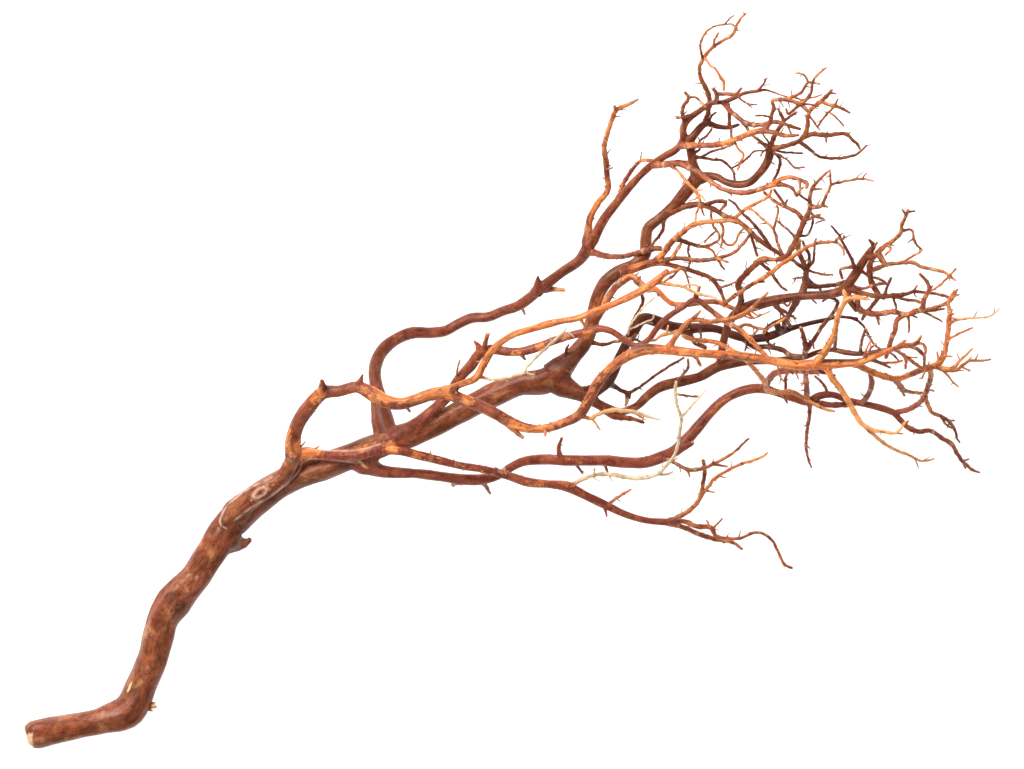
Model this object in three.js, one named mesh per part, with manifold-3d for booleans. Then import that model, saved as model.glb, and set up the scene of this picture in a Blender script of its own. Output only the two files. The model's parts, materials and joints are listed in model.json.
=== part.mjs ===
// A dry, reddish, much-branched piece of driftwood: one piece of wood that grew as one, from a sawn
// stem as thick as a thumb to its finest twigs. It lies on three low points, the stem, a dip in a
// limb and the foot of a low twig, and its crown stands up from them. Millimetres, +Z up.
import * as THREE from "three";
import { mergeVertices } from "three/addons/utils/BufferGeometryUtils.js";
import Module from "manifold-3d";

// The branch's real length from its sawn end to its furthest twig, and that length in the photograph.
const BRANCH_LENGTH = 900;
const BRANCH_LENGTH_PX = 1062;
const MM_PER_PX = BRANCH_LENGTH / BRANCH_LENGTH_PX;

// The photograph looks straight down, so a pixel is a place over the ground. This one is over the
// middle of the branch's box, where the origin lies.
const ORIGIN_PX = { x: 511.7, y: 382.3 };

// How round the solid is: the number of sides of a limb, for the thickest girth that it suits, in px.
const SIDES_BY_GIRTH = [[3.3, 3], [7, 4], [10, 5], [14, 6], [Infinity, 9]];
// How far a limb's middle line may stray where it is drawn with fewer rings, in px and in girths.
const STRAY_PX = 1.3;
const STRAY_PER_GIRTH = 0.1;
const SAMPLES_PER_POINT = 4;
// Detail finer than this is closed up once the limbs are joined, in mm.
const JOINT_TOLERANCE = 0.4;

// Every limb, each after the one that it springs from: its name, that limb's name, its girths,
// the heights of its middle over the ground, and its middle's x and y down the photograph. All are
// in px. Girths and heights are spread evenly over the limb, and a limb starts at its parent's
// height, ahead of the heights that it lists. No twig grows from a limb that has no name.
const LIMBS = [
  // The stem from its sawn base, and the leader that carries on from it through the crown.
  ["stem", "",
    [30, 27, 27, 33, 30, 30, 32, 32, 35, 30, 31, 33, 32, 30, 27, 27, 26, 27, 25, 24, 24, 24, 23, 24, 20],
    [16.5, 14.2, 13.2, 14.4, 17.5, 21, 24, 28, 32, 37, 42, 47, 51, 56, 62, 66, 70, 74, 77, 80, 84, 88, 91,
     95, 98],
    [27, 735, 60, 730, 100, 722, 128, 711, 142, 684, 152, 660, 157, 640, 162, 620, 172, 602, 191, 580,
     206, 560, 219, 540, 234, 520, 254, 502, 280, 484, 306, 473, 340, 461, 378, 446, 410, 436, 440, 423,
     470, 407, 497, 394, 520, 385, 545, 379, 562, 371]],
  ["leader", "stem",
    [22, 19, 17, 16, 15, 14, 13, 14, 13, 12, 12, 12, 11.5, 11, 11, 12, 13, 13, 9, 9, 9, 8, 7, 6, 5, 3.5],
    [98, 103, 110, 116, 122, 128, 133, 140, 146, 150, 146, 142],
    [545, 380, 561, 369, 574, 356, 585, 342, 591, 327, 594, 312, 597, 298, 605, 283, 617, 273, 634, 265,
     645, 254, 646, 240, 648, 229, 657, 221, 668, 212, 677, 203, 687, 191, 696, 178, 693, 164, 691, 152,
     690, 143, 697, 132, 706, 124, 717, 127, 729, 128, 739, 125]],
  ["side_stem", "stem", [18, 22, 22, 20, 18], [63, 72, 80, 86],
    [230, 526, 243, 506, 262, 490, 280, 475, 292, 457]],
  // Limbs that spring from the side stem: the ring, the bright and high limbs beyond it, and the low limb.
  ["ring", "side_stem",
    [17, 15, 14, 14, 13, 11, 12, 15, 13, 12, 12, 12, 14], [104, 124, 138, 146, 152, 156],
    [292, 457, 293, 440, 298, 423, 309, 407, 323, 393, 340, 391, 358, 387, 373, 394, 388, 402, 402, 404,
     417, 400, 431, 395, 444, 393]],
  ["bright", "ring",
    [13, 12, 12, 12, 11, 9, 9, 9, 10, 11, 11, 10, 10, 12, 10, 9, 9, 9, 9, 9, 8, 7.5, 7, 7, 6, 5.5, 5, 4.5,
     3],
    [164, 170, 176, 184, 194, 204, 212, 220, 228, 238, 250],
    [444, 393, 461, 399, 479, 406, 499, 416, 516, 425, 533, 429, 548, 428, 563, 423, 579, 415, 589, 399,
     597, 384, 608, 371, 622, 360, 640, 351, 660, 350, 690, 353, 720, 355, 745, 357, 770, 361, 795, 366,
     812, 366, 828, 366, 845, 364, 860, 361, 875, 356, 890, 350, 903, 346, 914, 344, 920, 336]],
  ["high", "ring", [9, 7, 8, 8, 7.5, 7, 7, 7, 7, 7.5, 7, 8, 8, 5], [166, 184, 200, 212, 222],
    [442, 391, 460, 385, 476, 378, 484, 364, 493, 348, 504, 338, 521, 330, 545, 323, 570, 320, 592, 315,
     617, 304, 640, 293, 655, 282, 667, 272]],
  ["low", "side_stem",
    [16, 13, 11, 11, 12, 11, 10, 9.5, 9, 8.5, 8, 8, 8.5, 8, 8, 8, 10, 9, 9, 7.5, 7, 7.5],
    [86, 89, 90, 86, 78, 66, 52, 39, 30],
    [292, 457, 305, 454, 322, 455, 345, 456, 360, 455, 373, 451, 386, 450, 400, 451, 420, 456, 440, 461,
     460, 466, 480, 469, 497, 473, 511, 479, 530, 486, 550, 487, 570, 489, 586, 496, 606, 506, 626, 515,
     646, 521, 668, 523]],
  ["low_hook", "low", [5.5, 5, 4.5, 4.5, 4, 4, 3], [34, 44, 56, 64],
    [666, 522, 680, 517, 692, 509, 700, 499, 703, 486, 705, 470, 703, 460]],
  ["low_foot", "low", [6, 5, 5, 4.6, 3.5, 2.5], [20, 10, 1.8, 2.6, 6],
    [666, 523, 684, 528, 700, 535, 716, 540, 733, 543, 743, 550]],
  ["low_tail", "low", [5, 5, 5, 5, 4, 3.5, 3, 3, 3, 3, 3, 2.5], [27, 25, 20, 20, 26, 22, 12, 5],
    [666, 522, 684, 522, 697, 527, 711, 528, 717, 537, 727, 539, 740, 539, 757, 533, 771, 539, 779, 553,
     785, 565, 793, 569]],
  ["low_cream", "low",
    [3.5, 3.5, 3.5, 3.5, 4, 4, 3.5, 3, 3, 3, 3, 3, 3, 3, 2.5], [82, 92, 104, 114, 124, 136, 146],
    [570, 487, 582, 481, 596, 475, 614, 475, 628, 478, 645, 478, 658, 474, 667, 465, 674, 456, 678, 444,
     680, 430, 681, 418, 677, 406, 675, 392, 676, 382]],
  ["", "low_cream", [3, 2.5, 2.5, 2], [150, 165], [681, 418, 688, 410, 694, 403, 705, 391]],
  ["", "low_cream", [3, 2.5, 1.5], [100], [658, 474, 666, 475, 673, 472]],
  ["", "low_cream", [2.5, 1.5], [98], [594, 476, 595, 468]],
  ["low_fork", "low_hook", [3, 3.5, 3.5, 3, 3, 3, 2.5, 2], [52, 60, 66, 72],
    [701, 497, 708, 488, 714, 480, 726, 472, 740, 465, 753, 461, 763, 457, 768, 453]],
  ["", "low_fork", [2.5, 1.5], [46], [706, 491, 715, 493]],
  ["", "low_tail", [2.5, 1.8], [34], [711, 528, 707, 521]],
  ["", "low_tail", [2.5, 1.8], [30], [713, 529, 723, 519]],
  ["", "low", [4, 3, 3, 2], [62, 70], [608, 506, 616, 499, 624, 494, 631, 490]],
  ["", "low", [4, 2], [44], [604, 505, 607, 517]],
  // The upper limb, which dips to the ground and rises into the top of the crown.
  ["upper", "stem",
    [24, 21, 19, 14, 13, 13, 13, 12, 12, 11, 11, 11, 11, 10, 10, 10, 11, 11, 10, 11, 14],
    [66, 52, 38, 22, 11, 5, 4, 8.5, 22, 38, 56, 74],
    [388, 442, 384, 426, 380, 407, 376, 388, 374, 371, 378, 357, 387, 346, 399, 338, 413, 333, 430, 333,
     445, 331, 458, 324, 472, 318, 488, 317, 503, 311, 518, 306, 531, 297, 543, 287, 563, 272, 579, 261,
     588, 248]],
  ["upper_left", "upper", [10, 8, 6.5, 6, 6, 5.5, 6, 5, 5, 4.5, 5, 4, 2], [84, 100, 116, 132, 142],
    [587, 248, 588, 233, 591, 216, 599, 202, 608, 190, 607, 176, 606, 161, 604, 150, 607, 135, 612, 120,
     616, 111, 628, 105, 638, 100]],
  ["", "upper_left", [2.5, 1.6], [128], [607, 170, 613, 168]],
  ["", "upper_left", [4, 3], [142], [616, 111, 614, 106]],
  ["upper_top", "upper",
    [11, 11, 10, 9.5, 8.5, 8, 8, 8, 8, 7.5, 7.5, 7, 6, 6, 5, 5, 4.5, 4, 3, 2.5, 2.5],
    [94, 114, 130, 146, 162, 174, 186, 196, 204],
    [587, 248, 595, 237, 604, 220, 616, 204, 628, 189, 640, 176, 651, 166, 664, 157, 676, 150, 683, 140,
     683, 129, 688, 120, 699, 112, 711, 104, 722, 103, 733, 99, 744, 94, 757, 92, 765, 91, 780, 96, 790,
     99]],
  ["upper_sweep", "upper_top",
    [6.5, 6, 5.5, 6, 6, 5, 4.5, 5, 5, 5, 6, 4, 3], [152, 162, 170, 178, 186, 192],
    [652, 168, 666, 165, 680, 165, 692, 170, 703, 177, 713, 184, 723, 190, 735, 193, 748, 193, 762, 189,
     774, 185, 785, 186, 793, 189]],
  ["upper_arc", "upper_sweep", [5, 4.5, 4.5, 4, 4, 3], [200, 206],
    [772, 186, 780, 180, 790, 178, 800, 181, 807, 185, 805, 189]],
  ["", "upper_arc", [3, 2.5], [204], [799, 181, 799, 189]],
  ["upper_cross", "upper_top", [6.5, 6, 5.5, 5.5, 5.5, 6, 6, 5, 4, 2.5], [188, 202, 214, 222, 226],
    [679, 147, 695, 146, 712, 146, 724, 144, 736, 140, 748, 135, 760, 132, 770, 133, 785, 137, 798, 136]],
  ["upper_rise", "upper_cross", [5, 4.5, 4, 4, 4, 3.5, 3.5, 3, 3, 2.5, 2.5, 2], [230, 240, 250, 260],
    [762, 132, 769, 124, 771, 115, 773, 108, 771, 102, 782, 101, 792, 98, 800, 94, 804, 88, 807, 84, 811,
     84, 819, 86]],
  ["", "upper_rise", [2.5, 2.5, 2, 1.8], [272], [807, 84, 804, 78, 799, 75, 794, 75]],
  ["rise_fork", "upper_rise", [4, 4, 4, 4, 3.5], [244, 240],
    [774, 102, 786, 101, 795, 104, 801, 107, 807, 113]],
  ["", "rise_fork", [4.5, 4, 3, 3, 2.5, 2.5, 1.8], [250, 262, 274],
    [798, 105, 805, 101, 810, 94, 811, 85, 814, 79, 819, 74, 825, 69]],
  ["", "rise_fork", [3.5, 3, 3, 2], [232], [799, 106, 793, 111, 787, 115, 785, 110]],
  ["upper_loop", "upper_top", [5, 5, 5, 5, 4.5, 4, 4, 3.5, 3.5, 3], [196, 202, 206, 208],
    [722, 103, 729, 111, 738, 119, 748, 125, 758, 126, 768, 124, 778, 123, 784, 125, 792, 128, 800, 130]],
  ["", "upper_loop", [4, 3], [190], [740, 121, 748, 131]],
  ["", "upper_loop", [2.5, 2], [196], [787, 126, 791, 136]],
  ["upper_bow", "upper_top", [4, 4, 4, 3.5, 3], [190, 204],
    [683, 124, 682, 115, 683, 107, 688, 99, 684, 93]],
  ["", "upper_bow", [2.5, 2.5, 2.5, 2], [214], [688, 99, 694, 98, 700, 103, 705, 108]],
  ["", "upper_top", [3, 3, 2.5], [178], [696, 114, 686, 117, 676, 119]],
  ["", "upper_top", [2.5, 2, 1.8], [206], [738, 97, 742, 102, 749, 105, 756, 106]],
  ["", "upper_top", [3, 2.5, 2], [216], [757, 92, 762, 86, 766, 79]],
  ["top_knot", "upper_top", [5, 4.5, 3], [200, 208], [716, 103, 716, 95, 712, 89]],
  ["", "top_knot", [4, 4, 3.5, 2.5], [206], [716, 95, 726, 95, 735, 95, 741, 89]],
  ["under_loop", "upper_top", [5, 5, 4.5, 4, 3.5, 3.5, 4, 4, 3], [90, 104, 118, 122],
    [620, 203, 621, 190, 625, 181, 633, 169, 641, 161, 652, 161, 665, 163, 680, 162, 691, 163]],
  ["amber", "upper_sweep", [3, 3, 3.5, 4, 3.5, 3], [158, 164, 160],
    [668, 165, 677, 171, 686, 182, 694, 190, 699, 199, 700, 206]],
  ["", "amber", [2.5, 2.5, 2], [168], [700, 206, 696, 214, 695, 223]],
  ["", "amber", [2.5, 1.8], [150], [700, 207, 704, 216]],
  ["upper_side", "upper", [7, 6, 5, 5, 6, 6, 5], [98, 122, 139, 142],
    [590, 252, 605, 256, 620, 257, 635, 254, 645, 251, 653, 249, 661, 249]],
  ["", "upper", [5, 2], [6], [519, 303, 525, 314]],
  // The hook above the leader, with the two loops of its tip.
  ["hook", "leader", [5, 5, 5.5, 5, 4.5, 4, 4, 3.5, 3.5, 3, 3.5, 3, 2.5, 2], [172, 192, 210, 222, 230],
    [705, 125, 708, 112, 709, 99, 705, 88, 700, 78, 699, 69, 702, 61, 707, 54, 713, 48, 722, 42, 732, 36,
     735, 29, 739, 21, 745, 15]],
  ["hook_loop", "hook", [3, 2.5, 2.5, 2.5, 2, 2, 2, 1.8], [226, 236, 244],
    [702, 60, 700, 50, 701, 41, 706, 33, 713, 28, 724, 26, 731, 26, 737, 30]],
  ["", "hook_loop", [2, 1.6], [250], [724, 26, 728, 21, 733, 17]],
  ["", "hook", [2.5, 2.5, 2.5, 3, 3.5, 3], [206, 198],
    [704, 58, 709, 66, 715, 70, 719, 77, 723, 82, 723, 91]],
  ["", "hook", [3, 2.5, 2], [236], [713, 48, 714, 41, 718, 34]],
  ["", "leader", [3, 2.5, 2], [160], [708, 124, 712, 116, 716, 113]],
  ["", "leader", [4, 4, 3], [156], [729, 128, 729, 115, 727, 100]],
  ["", "leader", [3, 3], [166], [731, 128, 731, 139]],
  ["dark_reach", "leader", [5, 3, 3, 3, 2.5, 2.5, 2.5], [142, 136, 132],
    [692, 158, 700, 158, 712, 160, 722, 161, 728, 166, 733, 172, 735, 182]],
  ["", "dark_reach", [3, 2.5, 2.5, 2.5], [158], [700, 158, 712, 152, 722, 149, 733, 145]],
  ["", "dark_reach", [2, 2.5, 2, 2], [124], [731, 169, 740, 164, 748, 158, 754, 152, 765, 151]],
  ["", "leader", [3, 2.5, 2.5, 2], [164], [692, 155, 699, 150, 699, 142, 707, 136, 712, 128]],
  ["", "upper_cross", [2.5, 2.5, 2.5, 2], [186], [733, 141, 738, 150, 743, 155, 740, 163, 737, 171]],
  ["", "leader", [5, 4, 3.5, 3, 2.5], [112, 104], [667, 213, 664, 222, 662, 232, 656, 240, 651, 247]],
  // The bough that swings over to the top right of the crown.
  ["bough", "leader", [10, 9, 8, 7.5, 8, 8, 8, 8, 9, 8], [148, 158, 166, 172],
    [695, 180, 706, 177, 716, 177, 725, 182, 737, 185, 749, 183, 758, 175, 765, 166, 769, 156, 770, 146]],
  ["bough_end", "bough", [5.5, 5, 5, 5, 4.5, 4, 4, 4.5, 4, 3], [178, 186, 196, 208, 216],
    [770, 149, 784, 147, 798, 142, 804, 136, 807, 126, 807, 118, 810, 111, 818, 104, 826, 97, 831, 91]],
  ["", "bough_end", [2.5, 1.8], [222], [829, 94, 835, 95]],
  ["star", "bough_end", [3.5, 3.5, 4, 3, 2.5], [214, 206],
    [820, 102, 828, 106, 834, 107, 842, 110, 849, 114]],
  ["star_leg", "star", [2.5, 2.5, 2], [196], [834, 107, 828, 113, 822, 120, 817, 128]],
  ["", "star", [2.5, 2], [222], [834, 107, 837, 100]],
  ["", "star_leg", [2, 2, 2], [190], [828, 113, 836, 119, 843, 127]],
  ["bough_low", "bough_end", [5, 4.5, 5, 4, 4, 3.5, 3.5, 2], [188, 182, 176],
    [803, 138, 812, 135, 825, 136, 836, 135, 846, 135, 851, 140, 857, 145, 859, 150]],
  ["", "bough_low", [4, 1.8], [172], [825, 136, 826, 143]],
  ["", "bough_end", [4.5, 4, 3, 3, 3, 3, 2.5, 2.5, 1.8], [166, 156, 150, 148],
    [798, 142, 808, 149, 815, 155, 822, 158, 835, 159, 845, 158, 856, 155, 861, 151, 866, 146]],
  ["bough_up", "bough", [5, 5, 4.5, 4.5, 3.5, 2], [184, 196],
    [770, 150, 773, 139, 777, 131, 783, 122, 780, 115, 777, 110]],
  ["", "bough_up", [3, 3, 2.5], [206], [783, 122, 790, 117, 796, 113]],
  ["", "bough", [3, 2.5, 2.5], [152], [770, 150, 785, 153, 802, 154]],
  ["", "bough", [3.5, 3.5, 3.5, 3, 3], [146, 138], [770, 152, 779, 158, 779, 168, 777, 174, 773, 181]],
  ["", "bough", [2.5, 2.5, 2, 2.5, 2], [190], [770, 152, 779, 156, 786, 160, 794, 168, 804, 168]],
  ["", "bough", [3.5, 4, 3.5, 3], [158], [769, 151, 762, 144, 752, 136]],
  ["", "bough", [2, 1.6], [180], [767, 161, 774, 165]],
  // The arm under the bough, and the mesh of twigs around it.
  ["arm", "leader", [8, 6.5, 6, 5, 5, 5, 5, 5, 4.5, 4.5, 4], [140, 146, 150, 146, 142],
    [667, 212, 684, 207, 699, 205, 712, 209, 724, 216, 738, 222, 748, 230, 757, 239, 768, 247, 776, 252,
     784, 258]],
  ["", "arm", [3.5, 3, 3, 3], [130], [749, 231, 753, 243, 757, 256]],
  ["arm_net", "arm", [4, 4, 3.5, 3, 3, 2.5, 2], [156, 168, 176],
    [771, 249, 765, 240, 758, 230, 750, 221, 741, 213, 735, 205, 728, 200]],
  ["arm_gold", "arm", [4, 3.5, 3.5, 3, 3, 2.5], [170, 186, 196],
    [733, 220, 741, 213, 748, 208, 758, 203, 768, 197, 771, 190]],
  ["", "arm", [4.5, 4, 4, 3], [142], [704, 206, 715, 202, 726, 203, 721, 210]],
  ["", "arm_gold", [2.5, 2, 2], [200], [748, 208, 755, 213, 765, 222, 772, 228]],
  // Limbs that leave the leader low in the crown and run out over it.
  ["span", "leader", [10, 9, 8, 8], [132, 143, 150], [620, 272, 638, 267, 652, 263, 664, 262]],
  ["span_arch", "span", [6, 6, 6.5, 5.5, 5, 4.5, 4.5, 4.5, 4, 4], [164, 176, 186, 190],
    [654, 263, 663, 254, 670, 244, 680, 235, 690, 227, 702, 223, 716, 222, 730, 221, 742, 225, 750, 232]],
  ["span_wire", "span_arch", [4.5, 4, 3.5, 3, 2.5, 2.5, 2.5, 2.5, 2], [152, 140, 134, 132],
    [676, 239, 690, 244, 703, 247, 713, 244, 719, 239, 718, 233, 713, 226, 711, 215, 711, 208]],
  ["", "span_wire", [3, 2.5, 2.5, 2], [124], [689, 244, 688, 252, 690, 262, 688, 268]],
  ["", "span_wire", [3, 2.5, 2.5], [146], [704, 247, 712, 251, 716, 258]],
  ["span_drop", "span_arch", [3, 3, 3, 2.5, 2.5, 2.5, 2.5, 2], [172, 164, 172],
    [720, 222, 723, 230, 722, 240, 729, 246, 735, 243, 738, 235, 743, 229]],
  ["", "span_drop", [2.5, 2], [150], [722, 241, 720, 248]],
  ["span_mid", "span", [5, 4.5, 4.5, 4.5, 4.5, 4, 3.5, 3.5, 3], [156, 166, 174, 180],
    [662, 262, 672, 259, 684, 259, 697, 261, 710, 260, 720, 258, 732, 254, 742, 245, 750, 234]],
  ["", "span_mid", [3, 2], [154], [717, 259, 721, 266, 724, 270]],
  ["", "span_mid", [3, 2], [186], [717, 259, 728, 263]],
  ["span_low", "span", [5, 5, 5, 4.5, 4.5, 4.5, 3.5, 3], [140, 130, 122, 116],
    [660, 262, 672, 266, 684, 269, 697, 273, 710, 278, 718, 287, 722, 295, 725, 303]],
  ["", "span_low", [3, 2.5, 2], [138], [712, 279, 724, 281]],
  ["", "span_low", [3, 2.5, 2], [150], [719, 288, 727, 286, 736, 282]],
  ["", "span_low", [3.5, 3, 2.5], [110], [683, 269, 687, 277, 690, 284]],
  ["wand", "leader",
    [8, 7, 7, 7, 7, 7, 7, 6, 6, 5, 5, 5, 5, 5, 5, 4.5], [126, 134, 140, 142, 138, 132, 128, 126],
    [593, 321, 600, 314, 605, 304, 612, 292, 622, 282, 632, 277, 640, 284, 648, 290, 656, 290, 664, 298,
     672, 304, 682, 305, 694, 304, 706, 302, 720, 303, 733, 309]],
  ["crest", "wand", [4, 4, 4, 4, 5, 4, 4.5, 4, 3.5, 3.5, 3, 2.5, 2], [152, 172, 188, 200, 208, 212],
    [724, 304, 735, 296, 748, 287, 760, 280, 771, 273, 779, 266, 790, 259, 801, 251, 813, 245, 824, 243,
     834, 243, 842, 249, 843, 256]],
  ["", "crest", [3, 2.5], [160], [757, 282, 764, 282]],
  ["", "crest", [3, 2.5, 2.5, 2], [228], [834, 243, 837, 239, 842, 240, 843, 236]],
  ["", "crest", [3, 2], [222], [814, 245, 815, 239]],
  // The red limb, which crosses over the leader.
  ["red", "stem",
    [18, 15, 13, 12, 12, 11, 11, 11, 10, 9, 9, 9, 8, 8, 8, 7.5, 6.5, 6.5, 6, 6, 6.5, 6, 5.5, 6, 6, 5],
    [90, 100, 110, 118, 126, 134, 142, 148, 156, 164, 172],
    [390, 442, 406, 431, 423, 419, 439, 405, 451, 392, 460, 378, 471, 366, 481, 353, 493, 350, 507, 352,
     522, 352, 538, 347, 553, 340, 572, 334, 590, 330, 600, 328, 612, 332, 624, 340, 636, 346, 648, 340,
     657, 328, 668, 317, 682, 308, 695, 300, 707, 308, 718, 317]],
  ["red_end", "red", [6, 5.5, 5, 5, 4.5, 4.5, 4], [184, 190, 196],
    [714, 315, 727, 323, 740, 331, 752, 342, 761, 352, 768, 359]],
  ["", "red", [6, 4, 2], [176], [695, 300, 697, 292, 700, 287]],
  ["", "red", [7, 5, 2], [120], [481, 353, 478, 346, 474, 341]],
  ["", "red", [5, 4.5, 4], [136], [483, 352, 485, 344, 488, 334]],
  ["", "red", [3, 2, 1.6], [122], [458, 381, 457, 372, 460, 360]],
  ["", "red", [5, 2.5], [112], [521, 352, 525, 360]],
  ["red_spur", "red_end", [4, 3.5, 3, 3, 2.5], [166], [737, 329, 745, 325, 755, 328, 764, 330, 763, 334]],
  // Twigs and spurs of the ring and of the bright and high limbs.
  ["", "ring", [10, 5], [142], [322, 391, 322, 381]],
  ["", "ring", [7, 2], [146], [358, 387, 363, 375]],
  ["", "ring", [5, 2], [138], [404, 403, 410, 412]],
  ["", "bright", [7, 5.5, 3.5], [162], [500, 414, 510, 427, 523, 438]],
  ["bright_pale", "bright", [4, 3.5, 3.5, 4, 4, 3.5, 3, 2], [176, 170, 166, 162],
    [579, 415, 590, 419, 600, 415, 612, 411, 625, 412, 636, 413, 648, 417, 660, 420]],
  ["", "bright_pale", [2.5, 1.6], [164], [592, 419, 600, 430]],
  ["", "bright_pale", [3, 2], [154], [633, 413, 643, 419]],
  ["", "bright", [4.5, 2.5], [184], [545, 428, 545, 436]],
  ["flame", "bright", [6, 5.5, 5.5, 5, 4.5, 5, 5, 4.5, 3.5, 2.5], [210, 222, 232, 240, 246],
    [666, 350, 676, 336, 684, 326, 692, 320, 705, 322, 720, 321, 735, 318, 747, 312, 757, 303, 767, 293]],
  ["", "flame", [4, 2], [232], [692, 320, 700, 311]],
  ["", "bright", [5, 3.5, 3], [186], [693, 353, 697, 360, 700, 366]],
  ["bright_web", "bright", [5, 4.5, 4.5, 4.5, 4.5, 4], [198, 190, 196, 206],
    [742, 355, 730, 350, 719, 344, 705, 341, 692, 340, 682, 336]],
  ["bright_fall", "bright", [5, 4.5, 4.5, 5.5, 5.5, 5, 5, 4.5, 4, 3.5, 2], [186, 146, 104, 80, 78, 84],
    [740, 357, 748, 363, 757, 373, 764, 382, 767, 390, 778, 393, 791, 392, 800, 396, 812, 403, 824, 409,
     835, 412]],
  ["torch", "bright", [8, 7, 6.5, 5.5, 5.5, 5.5, 5, 5, 5, 3], [238, 252, 264, 274, 280],
    [814, 366, 822, 355, 828, 344, 833, 334, 835, 324, 837, 315, 841, 307, 846, 300, 855, 298, 866, 300]],
  ["", "torch", [5, 4, 3], [260], [843, 304, 844, 296, 842, 291]],
  ["comet", "bright", [6, 6, 6, 5.5, 5.5, 5, 4, 3.5, 3, 2.5], [218, 206, 196, 188, 184],
    [826, 366, 830, 377, 838, 387, 846, 399, 853, 412, 861, 424, 872, 430, 884, 432, 895, 433, 904, 423]],
  ["comet_tail", "comet", [4.5, 4, 3.5, 3, 3, 2.5, 2.5, 2], [180, 166, 152, 140],
    [860, 423, 872, 434, 884, 444, 897, 451, 910, 456, 917, 460, 925, 461, 934, 459]],
  ["", "comet_tail", [2, 1.6], [138], [915, 459, 918, 468]],
  ["", "comet", [2.5, 1.8], [180], [894, 433, 902, 434]],
  ["", "bright", [3, 3, 2.5], [186], [808, 366, 805, 376, 801, 383]],
  ["", "bright", [4, 3.5, 3, 2.5], [206], [812, 367, 820, 372, 829, 374, 834, 376]],
  ["", "bright", [3.5, 3.5, 3, 3], [262], [893, 350, 900, 344, 904, 341]],
  ["", "bright", [4, 4, 4, 3.5, 3], [216, 206], [898, 347, 910, 347, 918, 351, 923, 357, 923, 366]],
  ["", "bright", [4, 3, 2.5], [224], [868, 358, 880, 364, 889, 368]],
  ["", "bright", [2.5, 2], [250], [862, 360, 869, 349, 875, 344]],
  ["", "high", [3, 3, 3, 3, 3, 2.5, 2.5, 2], [164, 160, 166],
    [478, 376, 488, 379, 499, 381, 512, 376, 525, 371, 535, 361, 545, 350, 556, 341]],
  ["high_web", "high", [4, 3.5, 3, 3, 3, 3, 2], [214, 206, 200],
    [655, 282, 668, 285, 682, 287, 692, 292, 705, 296, 716, 298]],
  ["", "high", [3.5, 3, 3], [204], [659, 279, 670, 273, 680, 269]],
  // The far side of the crown: limbs that the bright limb carries out to the right.
  ["rim", "bright",
    [7, 6.5, 6.5, 6.5, 6, 6, 7, 7, 6, 5, 5, 5, 4.5, 4, 4, 3], [206, 190, 180, 174, 172, 174, 180],
    [848, 363, 858, 366, 870, 372, 884, 377, 898, 379, 911, 374, 924, 369, 936, 365, 942, 358, 945, 347,
     947, 335, 948, 322, 949, 311, 947, 304, 950, 298, 954, 291]],
  ["", "rim", [5, 4.5, 4, 3.5, 3], [150], [896, 379, 900, 386, 905, 391, 915, 393, 922, 393]],
  ["", "rim", [5, 4, 2.5], [164], [893, 379, 899, 388, 904, 396]],
  ["rim_fall", "rim", [6, 5.5, 5.5, 5, 4.5, 4, 4, 3.5, 3, 2.5, 2], [150, 132, 116, 102, 92],
    [929, 367, 930, 378, 927, 388, 925, 397, 928, 406, 932, 413, 942, 417, 950, 423, 955, 430, 957, 438,
     960, 443]],
  ["", "rim_fall", [2.5, 2], [96], [948, 421, 955, 421]],
  ["", "rim_fall", [3, 2.5, 2], [108], [940, 416, 946, 425, 953, 429]],
  ["rim_spray", "rim", [4.5, 4.5, 4, 3.5, 2.5, 2], [186, 198],
    [934, 366, 945, 369, 952, 368, 960, 360, 971, 349]],
  ["rim_tip", "rim", [4, 3.5, 3.5, 3, 3, 2.5, 2], [162, 154, 150],
    [933, 367, 944, 371, 957, 370, 961, 366, 970, 361, 980, 361, 990, 360]],
  ["", "rim_tip", [2.5, 1.8], [144], [961, 368, 970, 371]],
  ["", "rim_tip", [2, 1.6], [160], [967, 363, 971, 357]],
  ["", "rim_tip", [3, 2.5, 2, 1.8], [138], [942, 370, 948, 377, 953, 383, 958, 387]],
  ["", "rim", [2.5, 2.5, 2], [188], [947, 340, 958, 334, 972, 328]],
  ["rim_whip", "rim", [3, 3, 2.5, 2.5, 2, 2, 1.8], [186, 196, 204],
    [948, 325, 954, 321, 966, 319, 978, 318, 988, 317, 998, 309]],
  ["", "rim", [3, 1.8], [182], [938, 363, 936, 352]],
  ["", "rim", [3, 2], [180], [949, 316, 953, 314]],
  ["", "rim", [2.5, 2], [188], [949, 298, 958, 295]],
  // The under limb and what it carries into the shaded middle of the crown.
  ["under", "stem",
    [19, 17, 13, 10, 8, 8, 9, 11, 11, 10, 11, 11, 9, 7, 6, 6, 5, 5, 6, 5, 5, 4.5],
    [90, 78, 68, 60, 56, 60, 70, 82, 96],
    [552, 380, 570, 389, 587, 398, 603, 407, 620, 412, 636, 407, 648, 396, 661, 387, 680, 382, 700, 377,
     716, 368, 733, 363, 752, 361, 772, 361, 790, 359, 806, 357, 819, 352, 832, 350, 848, 353, 862, 354,
     876, 352, 890, 349]],
  ["", "under", [6, 4, 2.5], [80], [612, 411, 630, 416, 643, 422]],
  ["", "under", [3.5, 3, 3, 2.5], [84, 100], [676, 383, 682, 376, 688, 368, 688, 359]],
  ["", "under", [5, 5, 4.5, 4.5], [100, 116], [862, 354, 858, 344, 862, 333, 866, 327]],
  ["", "under", [3.5, 3.5, 3], [110], [835, 350, 836, 338, 835, 328]],
  ["under_fork", "under", [6, 6, 4.5, 4], [84, 96], [805, 357, 806, 348, 804, 338, 801, 328]],
  ["under_wave", "under_fork", [6, 4.5, 4, 4, 4, 3.5, 3, 2], [98, 112, 120, 122],
    [806, 350, 814, 340, 822, 327, 831, 316, 837, 306, 837, 301, 829, 298, 822, 302]],
  ["", "under_wave", [2.5, 2], [106], [813, 342, 814, 349]],
  ["vault", "under",
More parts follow.
